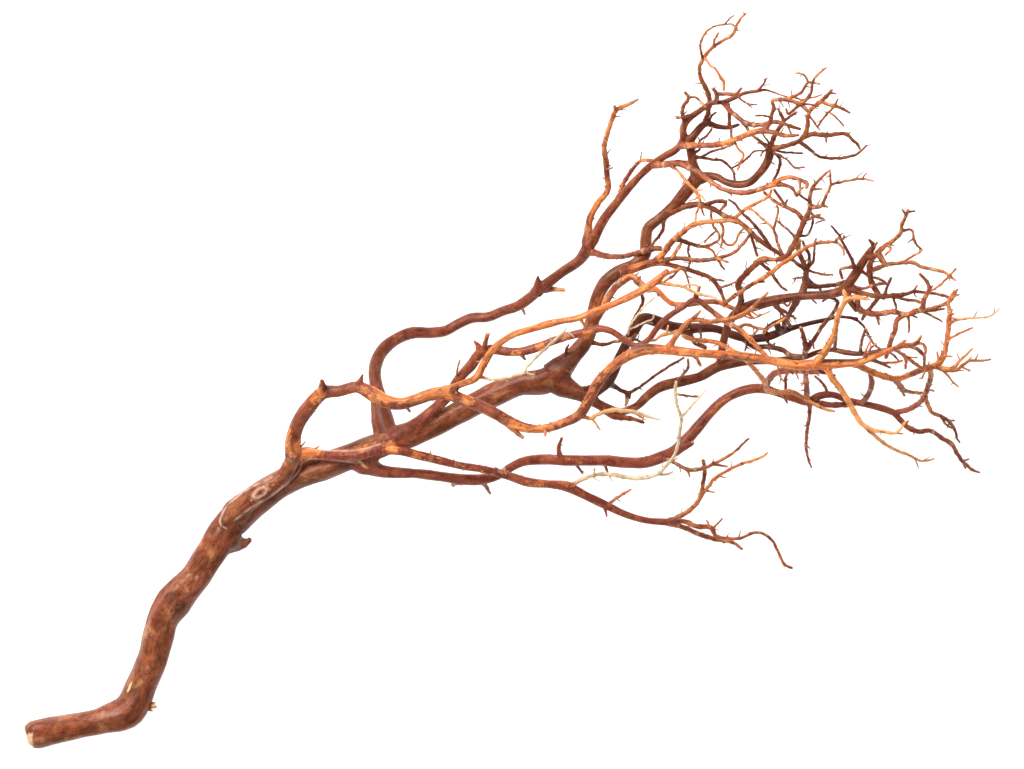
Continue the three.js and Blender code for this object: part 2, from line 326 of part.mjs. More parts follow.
    [14, 13, 12, 11, 10, 9, 9, 9, 9, 10, 9, 9, 9, 9, 9, 8, 5.5, 5, 5, 4, 4],
    [82, 70, 62, 58, 56, 58, 64, 72, 80, 86],
    [580, 393, 596, 390, 608, 381, 616, 366, 624, 349, 633, 334, 643, 319, 655, 321, 668, 326, 684, 329,
     700, 328, 716, 329, 733, 335, 750, 339, 768, 337, 784, 331, 797, 327, 812, 323, 826, 320, 838, 317,
     858, 319]],
  ["vault_spur", "vault", [7, 5, 4, 3, 3, 3, 2.5], [64, 70, 78, 84],
    [606, 381, 617, 388, 628, 393, 640, 387, 655, 376, 670, 366, 684, 358]],
  ["", "vault_spur", [3.5, 2.5], [56], [628, 393, 627, 407]],
  ["", "vault", [3, 3, 3, 3.5, 3], [90, 112], [624, 345, 631, 325, 638, 312, 643, 302, 641, 292]],
  ["", "vault", [6, 5, 4.5], [48], [686, 328, 695, 342, 706, 348]],
  ["", "vault", [6, 6, 5, 5, 5, 5], [62, 72],
    [744, 337, 755, 347, 768, 347, 782, 350, 792, 356, 803, 357]],
  ["", "vault", [4, 3, 2], [52], [627, 342, 635, 340, 642, 342]],
  ["", "leader", [4, 3.5, 3], [96], [594, 345, 604, 345, 612, 342, 622, 341]],
  // The right-hand limb that climbs from the under limb, and the crown above it.
  ["right", "under",
    [9, 8, 8, 9, 11, 12, 11, 9, 9, 9, 10, 10, 9, 7, 5, 3], [74, 92, 108, 118, 128, 138, 150, 164, 172],
    [720, 368, 722, 350, 726, 332, 732, 318, 742, 310, 756, 305, 772, 301, 788, 298, 806, 296, 824, 295,
     841, 291, 852, 279, 862, 263, 870, 251, 873, 246, 868, 240]],
  ["", "right", [8, 7, 5], [140, 128], [845, 290, 849, 300, 856, 311]],
  ["", "right", [4, 3.5, 3, 3], [104, 98], [758, 304, 768, 302, 776, 308, 784, 316]],
  ["", "vault", [4, 3.5, 3, 3, 2.5, 2], [76, 80, 92],
    [768, 337, 766, 329, 772, 324, 780, 320, 788, 317, 794, 316]],
  ["", "red_spur", [3, 2.5, 2.5, 2], [158, 152], [763, 334, 770, 327, 779, 322, 786, 318]],
  ["", "vault", [3, 2.5, 2], [70, 84], [700, 328, 701, 337, 697, 343]],
  ["", "right", [3, 2], [176], [872, 248, 877, 243]],
  ["", "right", [6, 4, 3, 2.5], [108, 100], [772, 301, 780, 309, 788, 314, 796, 319]],
  ["mast", "right",
    [7, 6, 6.5, 7, 6, 6, 6, 4, 6, 6, 5.5, 5.5, 5, 4, 4, 3, 2.5, 2],
    [122, 134, 146, 158, 172, 186, 200, 214, 226],
    [738, 311, 741, 300, 740, 291, 738, 284, 744, 276, 753, 267, 761, 260, 774, 260, 785, 258, 791, 249,
     797, 237, 803, 223, 809, 210, 809, 201, 811, 190, 818, 181, 823, 176, 829, 171]],
  ["", "mast", [4, 3.5, 3.5, 3, 2.5, 2], [138, 132, 128],
    [758, 262, 765, 267, 771, 273, 777, 282, 782, 288, 787, 291]],
  ["mast_gate", "mast", [5, 4.5, 4, 3.5, 3, 2.5], [184, 176, 170],
    [803, 222, 796, 213, 786, 208, 776, 203, 768, 197, 763, 192]],
  ["", "mast_gate", [3.5, 3, 3, 3], [186, 192], [786, 208, 779, 198, 773, 190]],
  ["", "mast_gate", [2.5, 2], [188], [784, 206, 787, 200]],
  ["mast_net", "mast", [3, 3, 3, 3, 2.5, 2.5, 2], [150, 140, 150],
    [784, 258, 778, 246, 775, 234, 772, 228, 763, 220, 755, 213]],
  ["", "mast_net", [3, 2.5, 2.5, 2], [164], [773, 230, 776, 220, 778, 210, 776, 206]],
  ["", "mast", [3, 2.5, 2.5, 2], [170], [796, 239, 789, 232, 782, 226, 776, 221]],
  ["", "mast", [3, 2.5, 2.5, 2.5, 2.5, 2], [176, 186],
    [800, 238, 806, 236, 810, 230, 812, 223, 812, 214]],
  ["", "mast", [3, 3.5, 2], [210], [804, 222, 812, 218, 820, 215]],
  ["", "mast", [3, 2.5, 2], [212], [807, 202, 802, 198, 797, 194]],
  ["plume", "mast", [4, 4, 4, 3, 3, 3, 2.5, 2.5, 2.5, 2], [232, 242, 250, 256],
    [809, 208, 816, 208, 821, 206, 824, 199, 828, 190, 830, 186, 841, 183, 851, 181, 860, 180, 872, 182]],
  ["", "plume", [2.5, 2.5, 1.8], [262], [830, 187, 829, 179, 829, 173]],
  ["", "plume", [2, 1.6], [262], [860, 180, 865, 174]],
  ["", "plume", [3, 2], [228], [821, 206, 827, 208]],
  ["", "mast", [3, 2], [222], [811, 190, 821, 190]],
  ["keel", "right", [9, 7, 6, 5.5, 5, 5, 4.5], [122, 114, 112, 116, 122],
    [801, 294, 805, 283, 806, 274, 805, 267, 801, 258, 798, 248, 799, 240]],
  ["", "keel", [4, 4, 3], [138], [805, 270, 797, 264, 790, 258]],
  ["", "keel", [3.5, 3.5, 3.5, 3, 2.5], [128, 146], [806, 271, 809, 262, 809, 255, 805, 248, 802, 241]],
  ["", "keel", [3, 3, 2.5, 2], [126, 136], [807, 271, 813, 262, 814, 252, 815, 240]],
  ["", "keel", [3, 2.5, 2.5, 2], [104], [807, 270, 816, 273, 824, 275, 833, 275]],
  ["", "keel", [3, 2.5, 2], [98], [806, 278, 799, 278, 793, 279]],
  ["", "keel", [4, 3.5, 3, 2.5], [104], [806, 279, 813, 284, 818, 287, 821, 291]],
  ["", "keel", [6, 4.5, 4.5, 4.5, 4], [120, 134], [805, 285, 815, 287, 828, 286, 840, 284, 848, 281]],
  ["reed", "right", [5, 4.5, 3.5, 3, 3, 2.5, 2], [164, 180, 194],
    [853, 276, 854, 269, 852, 262, 847, 252, 842, 243, 837, 234, 830, 226]],
  ["", "reed", [3.5, 3, 3, 3], [150], [853, 267, 846, 268, 840, 270, 842, 279]],
  ["antler", "right", [6, 6, 5, 4.5, 4, 4, 3.5, 3.5, 3], [172, 184, 196, 206],
    [866, 257, 874, 256, 880, 250, 888, 244, 895, 239, 900, 233, 901, 225, 905, 217, 907, 210]],
  ["", "antler", [3, 2], [212], [905, 216, 901, 210]],
  ["", "antler", [2.5, 2], [200], [906, 213, 914, 212]],
  ["", "antler", [3, 2.5, 3, 2.5, 2], [190, 182], [901, 231, 911, 231, 913, 240, 916, 246, 921, 250]],
  ["", "antler", [3.5, 2.5, 2], [186], [887, 245, 890, 249, 884, 256]],
  ["yard", "right", [7, 5.5, 4.5, 5, 5, 4, 3.5, 3, 3, 3], [146, 138, 132, 128, 126],
    [845, 287, 857, 292, 868, 295, 880, 297, 892, 296, 903, 295, 914, 292, 925, 293, 940, 295, 949, 298]],
  ["", "yard", [3.5, 3, 3, 3], [120], [893, 296, 905, 300, 915, 301, 921, 303]],
  ["", "yard", [2.5, 2], [142], [913, 292, 917, 286]],
  ["", "yard", [4.5, 4, 4, 3], [118], [879, 297, 872, 306, 866, 313, 862, 320]],
  ["yard_post", "yard", [5, 6, 6, 6, 5.5, 5], [142, 152, 162],
    [880, 297, 875, 290, 871, 282, 869, 273, 870, 263, 874, 257]],
  ["lance", "yard_post", [5, 5, 4.5, 4, 4, 4, 3.5, 3.5, 3, 3, 2], [160, 172, 182, 190],
    [870, 271, 879, 268, 886, 265, 895, 264, 905, 263, 912, 263, 920, 267, 932, 270, 942, 272, 949, 277,
     955, 281]],
  ["", "lance", [2.5, 2.5, 2, 2], [186], [903, 263, 911, 257, 917, 254, 922, 250]],
  ["", "lance", [2.5, 2], [198], [948, 277, 955, 269]],
  ["", "lance", [2.5, 2.5, 2.5], [170], [948, 277, 940, 285, 931, 291]],
  ["", "right", [3.5, 3, 3, 3, 2.5], [150, 146], [848, 284, 862, 289, 872, 286, 882, 284, 887, 284]],
  ["", "right", [3.5, 3, 3, 3], [142], [858, 270, 870, 277, 878, 279, 885, 283]],
  ["", "yard", [3.5, 3, 3], [138], [884, 297, 887, 287, 891, 278]],
  ["frame_arm", "yard",
    [5, 5, 6, 6, 6, 5, 5, 6, 6, 5, 4.5, 4.5, 3.5, 3], [132, 128, 130, 138, 148, 158, 166],
    [857, 292, 857, 300, 859, 309, 866, 313, 880, 314, 893, 312, 906, 315, 915, 312, 922, 309, 923, 302,
     926, 295, 929, 289, 926, 282, 919, 274]],
  ["", "frame_arm", [4, 3.5, 3.5, 4, 3.5, 2], [156, 164],
    [920, 310, 930, 309, 940, 306, 947, 303, 951, 299, 957, 290]],
  ["", "frame_arm", [4, 3, 2], [146], [919, 311, 932, 311, 944, 309]],
  ["", "frame_arm", [2.5, 2.5, 2], [136], [920, 311, 933, 317, 942, 322]],
  ["", "frame_arm", [3, 2.5, 2], [128], [907, 315, 909, 325, 908, 333]],
  ["", "frame_arm", [5, 5, 5, 5, 4.5, 4], [126, 112, 104],
    [905, 315, 897, 320, 895, 330, 891, 340, 889, 348, 886, 358]],
  ["", "frame_arm", [4, 2], [116], [877, 314, 879, 325]],
  ["", "frame_arm", [2.5, 2], [160], [928, 291, 932, 286]],
  ["", "vault", [3, 2.5, 2.5, 3, 2.5, 2, 2], [84, 96, 112, 124],
    [852, 319, 859, 322, 865, 328, 869, 336, 873, 343, 878, 348, 881, 349]],
  ["", "under", [3, 2.5, 2, 1.8], [96, 104], [884, 349, 892, 354, 897, 359, 900, 362]],
  ["", "bright", [3.5, 3, 2.5, 2.5, 2.5], [222, 214, 204],
    [869, 357, 874, 362, 882, 363, 892, 363, 901, 361]],
  ["bright_join", "bright", [3, 3.5, 4, 3.5, 4], [216, 206, 198],
    [893, 350, 900, 354, 906, 358, 914, 364, 921, 369]],
  ["", "bright_join", [2.5, 3, 2.5], [206, 200], [901, 355, 905, 362, 904, 369]],
  ["", "bright", [3, 2.5, 2], [242, 250], [898, 347, 901, 343, 904, 342]],
  ["", "bright_join", [2, 1.6], [216], [906, 358, 916, 358]],
  ["", "rim", [2.5, 2, 1.6], [196, 204], [925, 369, 921, 378, 918, 379]],
  ["", "rim", [2.5, 1.8], [190], [944, 356, 951, 357]],
  ["", "rim_fall", [3, 2], [134], [927, 390, 934, 391]],
  ["", "rim", [2.5, 1.6], [192], [949, 318, 956, 319]],
  ["", "frame_arm", [2.5, 2], [126], [910, 317, 917, 318]],
  ["", "yard", [3, 2.5, 2.5, 2.5], [130, 138], [893, 297, 894, 302, 896, 308, 894, 313]],
  // The lower limb on the ground side, from the stem to the bottom right of the crown.
  ["lower", "stem",
    [20, 16, 13, 12, 10, 10, 11, 11, 9, 9, 10, 11, 11, 10, 11, 11, 12, 12, 12, 12, 11, 10, 10, 10, 10, 10,
     8, 9, 9, 8, 7, 7, 7, 7, 7],
    [66, 60, 54, 48, 44, 42, 42, 46, 52, 56, 58, 60, 62],
    [352, 457, 368, 465, 380, 471, 395, 473, 415, 474, 440, 477, 462, 480, 482, 480, 498, 476, 511, 468,
     524, 462, 545, 460, 565, 461, 585, 461, 605, 461, 625, 463, 645, 463, 661, 458, 677, 450, 689, 438,
     700, 425, 711, 412, 723, 401, 737, 393, 751, 389, 764, 389, 778, 393, 795, 398, 808, 402, 820, 396,
     833, 395, 850, 401, 868, 405, 884, 409, 897, 414]],
  ["", "lower", [8, 5], [56], [360, 461, 362, 470]],
  ["", "lower", [6, 4], [40], [455, 479, 453, 486]],
  ["", "lower", [6, 4, 2.5], [36], [480, 480, 486, 487, 490, 494]],
  ["", "lower", [5.5, 4, 3], [62], [560, 459, 559, 447, 562, 438]],
  ["", "lower", [4, 2], [30], [573, 460, 583, 474]],
  ["", "lower", [4, 2], [34], [604, 461, 608, 473]],
  ["", "lower", [5, 3.5, 2.5], [34], [677, 450, 686, 447, 693, 443]],
  ["low_spray", "lower", [4, 4, 3.5, 4, 4, 3.5, 3.5, 3, 2.5, 2.5, 2], [56, 66, 76, 86, 92],
    [656, 458, 668, 460, 678, 465, 688, 470, 697, 470, 705, 468, 712, 465, 724, 459, 735, 452, 742, 445,
     749, 439]],
  ["", "low_spray", [3, 2.5, 2], [72], [713, 464, 722, 466, 728, 467]],
  ["", "low_spray", [2.5, 1.8], [58], [688, 470, 690, 477]],
  ["lower_rise", "lower", [7, 7, 6.5, 6, 6, 5.5, 5], [76, 98, 118, 134, 148],
    [764, 388, 769, 380, 776, 373, 787, 371, 800, 371, 815, 372, 826, 371]],
  ["", "lower", [6, 5.5, 5, 5], [82, 104, 120], [807, 401, 807, 390, 806, 378, 805, 368]],
  ["", "lower", [3.5, 3, 2.5], [84], [829, 395, 824, 385, 815, 376]],
  ["", "lower", [3, 3, 2.5], [78], [787, 396, 786, 378, 789, 372]],
  ["", "lower", [6, 5.5, 5.5, 5], [88, 118, 146], [862, 403, 869, 394, 872, 384, 870, 373]],
  ["lower_drop", "lower", [5, 4, 4, 3.5, 3.5, 2.5, 2], [44, 26, 12, 6],
    [810, 402, 810, 416, 808, 428, 807, 440, 807, 450, 809, 459, 812, 468]],
  ["", "lower_drop", [2.5, 1.6], [6], [807, 445, 811, 449]],
  ["", "lower", [3, 2], [46], [782, 395, 788, 403]],
  ["", "lower", [6, 6, 6, 5], [54, 50], [810, 402, 828, 405, 845, 405, 856, 404]],
  ["lower_up", "lower", [6, 5.5, 5.5, 5, 3], [76, 94, 106],
    [895, 412, 908, 410, 917, 405, 923, 399, 925, 392]],
  ["lower_end", "lower", [6, 5.5, 5, 5.5, 5, 4.5, 4.5, 5, 4, 4, 3.5, 3, 2], [58, 50, 40, 29, 17, 7],
    [894, 412, 901, 420, 905, 425, 913, 430, 921, 432, 931, 431, 942, 438, 953, 445, 958, 454, 963, 461,
     968, 466, 975, 471, 981, 473]],
  ["", "lower_end", [2.5, 2], [14], [963, 461, 970, 460]],
  ["", "lower_end", [3, 2], [8], [960, 457, 967, 469]],
  ["", "lower_end", [3, 2], [58], [905, 425, 909, 421]],
  // Broken stubs on the stem.
  ["", "stem", [17, 12, 5], [46, 48], [224, 531, 238, 541, 252, 540]],
  ["", "stem", [13, 8, 3], [14, 16], [137, 697, 145, 704, 153, 708]],
];

const wasm = await Module();
wasm.setup();

// The value at share t, from 0 to 1, of a list that is spread evenly over a limb.
function spread(values, t) {
  const place = t * (values.length - 1);
  const index = Math.min(Math.floor(place), values.length - 2);
  return THREE.MathUtils.lerp(values[index], values[index + 1], place - index);
}

// The sample of a limb that lies nearest to a point, as seen from above.
function nearestSample(samples, point) {
  let nearest = samples[0];
  let least = Infinity;
  for (const sample of samples) {
    const gap = Math.hypot(sample.x - point.x, sample.y - point.y);
    if (gap < least) {
      least = gap;
      nearest = sample;
    }
  }
  return nearest;
}

// A limb's middle line as closely spaced samples, each a Vector4 whose w is the girth there.
function traceLimb(girths, heights, path, parentSamples) {
  const points = [];
  for (let i = 0; i < path.length; i += 2) {
    points.push(new THREE.Vector3(path[i] - ORIGIN_PX.x, ORIGIN_PX.y - path[i + 1], 0));
  }
  const lifts = [...heights];
  if (parentSamples) {
    const root = nearestSample(parentSamples, points[0]);
    points[0].set(root.x, root.y, 0);
    lifts.unshift(root.z);
  }
  points.forEach((point, i) => {
    point.z = spread(lifts, i / (points.length - 1));
  });
  const line = new THREE.CatmullRomCurve3(points, false, "centripetal");
  const count = (points.length - 1) * SAMPLES_PER_POINT;
  const samples = [];
  for (let i = 0; i <= count; i += 1) {
    const point = line.getPoint(i / count);
    samples.push(new THREE.Vector4(point.x, point.y, point.z, spread(girths, i / count)));
  }
  return samples;
}

// The samples that a limb needs to keep its shape: the two ends, and between them the one that
// strays furthest from the straight run, for as long as it strays too far.
function thinOut(samples) {
  const first = samples[0];
  const last = samples[samples.length - 1];
  const along = last.clone().sub(first);
  let furthest = 0;
  let most = 1;
  for (let i = 1; i < samples.length - 1; i += 1) {
    const offset = samples[i].clone().sub(first);
    const t = THREE.MathUtils.clamp(offset.dot(along) / along.lengthSq(), 0, 1);
    const stray = offset.addScaledVector(along, -t).length();
    const share = stray / (STRAY_PX + STRAY_PER_GIRTH * samples[i].w);
    if (share > most) {
      most = share;
      furthest = i;
    }
  }
  if (furthest === 0) {
    return [first, last];
  }
  return [...thinOut(samples.slice(0, furthest + 1)), ...thinOut(samples.slice(furthest)).slice(1)];
}

// One limb as a closed solid: rings of a few sides round its middle line, and a flat end on each.
function limbSolid(samples) {
  const kept = thinOut(samples);
  const middles = kept.map((sample) => new THREE.Vector3(sample.x, sample.y, sample.z));
  const meanGirth = kept.reduce((sum, sample) => sum + sample.w, 0) / kept.length;
  const sides = SIDES_BY_GIRTH.find(([girth]) => meanGirth <= girth)[1];
  // A section of few sides reaches further out than a circle, so that it holds as much wood.
  const fullness = Math.sqrt((2 * Math.PI) / (sides * Math.sin((2 * Math.PI) / sides)));
  const across = new THREE.Vector3(0, 0, 1);
  const vertices = [];
  kept.forEach((sample, i) => {
    const before = middles[Math.max(i - 1, 0)];
    const after = middles[Math.min(i + 1, middles.length - 1)];
    const tangent = after.clone().sub(before).normalize();
    across.addScaledVector(tangent, -across.dot(tangent)).normalize();
    const sideways = tangent.clone().cross(across);
    const radius = (sample.w / 2) * fullness;
    for (let side = 0; side < sides; side += 1) {
      const angle = (2 * Math.PI * side) / sides;
      const vertex = middles[i].clone();
      vertex.addScaledVector(across, Math.cos(angle) * radius);
      vertex.addScaledVector(sideways, Math.sin(angle) * radius);
      vertices.push(...vertex.multiplyScalar(MM_PER_PX));
    }
  });
  const faces = [];
  for (let ring = 0; ring < kept.length - 1; ring += 1) {
    for (let side = 0; side < sides; side += 1) {
      const a = ring * sides + side;
      const b = ring * sides + ((side + 1) % sides);
      faces.push(a, b, b + sides, a, b + sides, a + sides);
    }
  }
  const lastRing = (kept.length - 1) * sides;
  for (let side = 1; side < sides - 1; side += 1) {
    faces.push(0, side + 1, side);
    faces.push(lastRing, lastRing + side, lastRing + side + 1);
  }
  return solidFrom(new Float32Array(vertices), new Uint32Array(faces));
}

function solidFrom(vertProperties, triVerts) {
  return new wasm.Manifold(new wasm.Mesh({ numProp: 3, vertProperties, triVerts }));
}

// The ground under the branch, which leaves a small flat on each of the three points it rests on.
function groundSolid() {
  const box = new THREE.BoxGeometry(BRANCH_LENGTH * 2, BRANCH_LENGTH * 2, BRANCH_LENGTH);
  box.translate(0, 0, -BRANCH_LENGTH / 2);
  box.deleteAttribute("normal");
  box.deleteAttribute("uv");
  const closed = mergeVertices(box);
  return solidFrom(new Float32Array(closed.attributes.position.array), new Uint32Array(closed.index.array));
}

// The whole branch: every limb, fused to the one that it springs from.
function branchGeometry() {
  const traced = new Map();
  const solids = [];
  for (const [name, parent, girths, heights, path] of LIMBS) {
    const samples = traceLimb(girths, heights, path, traced.get(parent));
    solids.push(limbSolid(samples));
    if (name) {
      traced.set(name, samples);
    }
  }
  const wood = wasm.Manifold.union(solids).subtract(groundSolid()).asOriginal().simplify(JOINT_TOLERANCE);
  const mesh = wood.getMesh();
  const geometry = new THREE.BufferGeometry();
  geometry.setAttribute("position", new THREE.BufferAttribute(mesh.vertProperties, 3));
  geometry.setIndex(new THREE.BufferAttribute(mesh.triVerts, 1));
  geometry.computeVertexNormals();
  return geometry;
}

const bark = new THREE.MeshStandardMaterial({ color: 0x8a4630, roughness: 0.62, metalness: 0 });
const branch = new THREE.Mesh(branchGeometry(), bark);
branch.name = "driftwood_branch";

const driftwood = new THREE.Group();
driftwood.add(branch);

export default driftwood;
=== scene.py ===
"""A dry, reddish, much-branched piece of driftwood that lies on a pale floor, seen from straight above.

The whole branch is one closed mesh. The stem and the thick limbs are remeshed into each other, so that they
flow together at the forks, and every twig is then joined on with a flared root. Bark, peeling patches,
scars and broken wood are one procedural material, led by what each vertex knows of its limb.
"""
import json
import math
import random

import bmesh
import bpy
import numpy as np
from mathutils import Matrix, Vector, noise
from mathutils.kdtree import KDTree

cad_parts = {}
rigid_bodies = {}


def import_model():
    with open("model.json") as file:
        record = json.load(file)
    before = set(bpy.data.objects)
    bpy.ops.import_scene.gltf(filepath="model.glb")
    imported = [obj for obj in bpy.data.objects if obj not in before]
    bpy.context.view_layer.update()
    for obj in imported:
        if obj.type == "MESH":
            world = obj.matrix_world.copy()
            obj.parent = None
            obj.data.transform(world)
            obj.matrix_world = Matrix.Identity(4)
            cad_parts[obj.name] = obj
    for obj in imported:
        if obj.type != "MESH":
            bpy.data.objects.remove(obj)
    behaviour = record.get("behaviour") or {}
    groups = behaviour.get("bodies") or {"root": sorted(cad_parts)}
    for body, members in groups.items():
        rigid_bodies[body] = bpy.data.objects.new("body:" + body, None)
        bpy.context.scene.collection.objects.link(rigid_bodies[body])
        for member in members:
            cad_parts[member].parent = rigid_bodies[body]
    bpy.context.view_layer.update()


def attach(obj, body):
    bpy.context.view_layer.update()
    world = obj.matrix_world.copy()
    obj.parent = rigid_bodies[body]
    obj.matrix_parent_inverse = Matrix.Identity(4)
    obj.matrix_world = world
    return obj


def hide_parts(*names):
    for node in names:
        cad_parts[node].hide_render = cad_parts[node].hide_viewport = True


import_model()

# The branch's real length from its sawn end to its furthest twig, in metres, and in the photograph.
BRANCH_LENGTH = 0.9
BRANCH_LENGTH_PX = 1062
M_PER_PX = BRANCH_LENGTH / BRANCH_LENGTH_PX
MM_PER_PX = M_PER_PX * 1000

# The photograph looks straight down. This pixel of it is over the frame's origin.
ORIGIN_PX = (511.7, 382.3)
PHOTO_SIZE_PX = (1024, 769)
# The routes were read to the pixel's corner, so the picture's middle lies this much further down.
READING_SHIFT_PX = 0.3

CAMERA_HEIGHT = 30.0
CAMERA_SENSOR_MM = 36.0
CROWN_MID_HEIGHT = 0.09

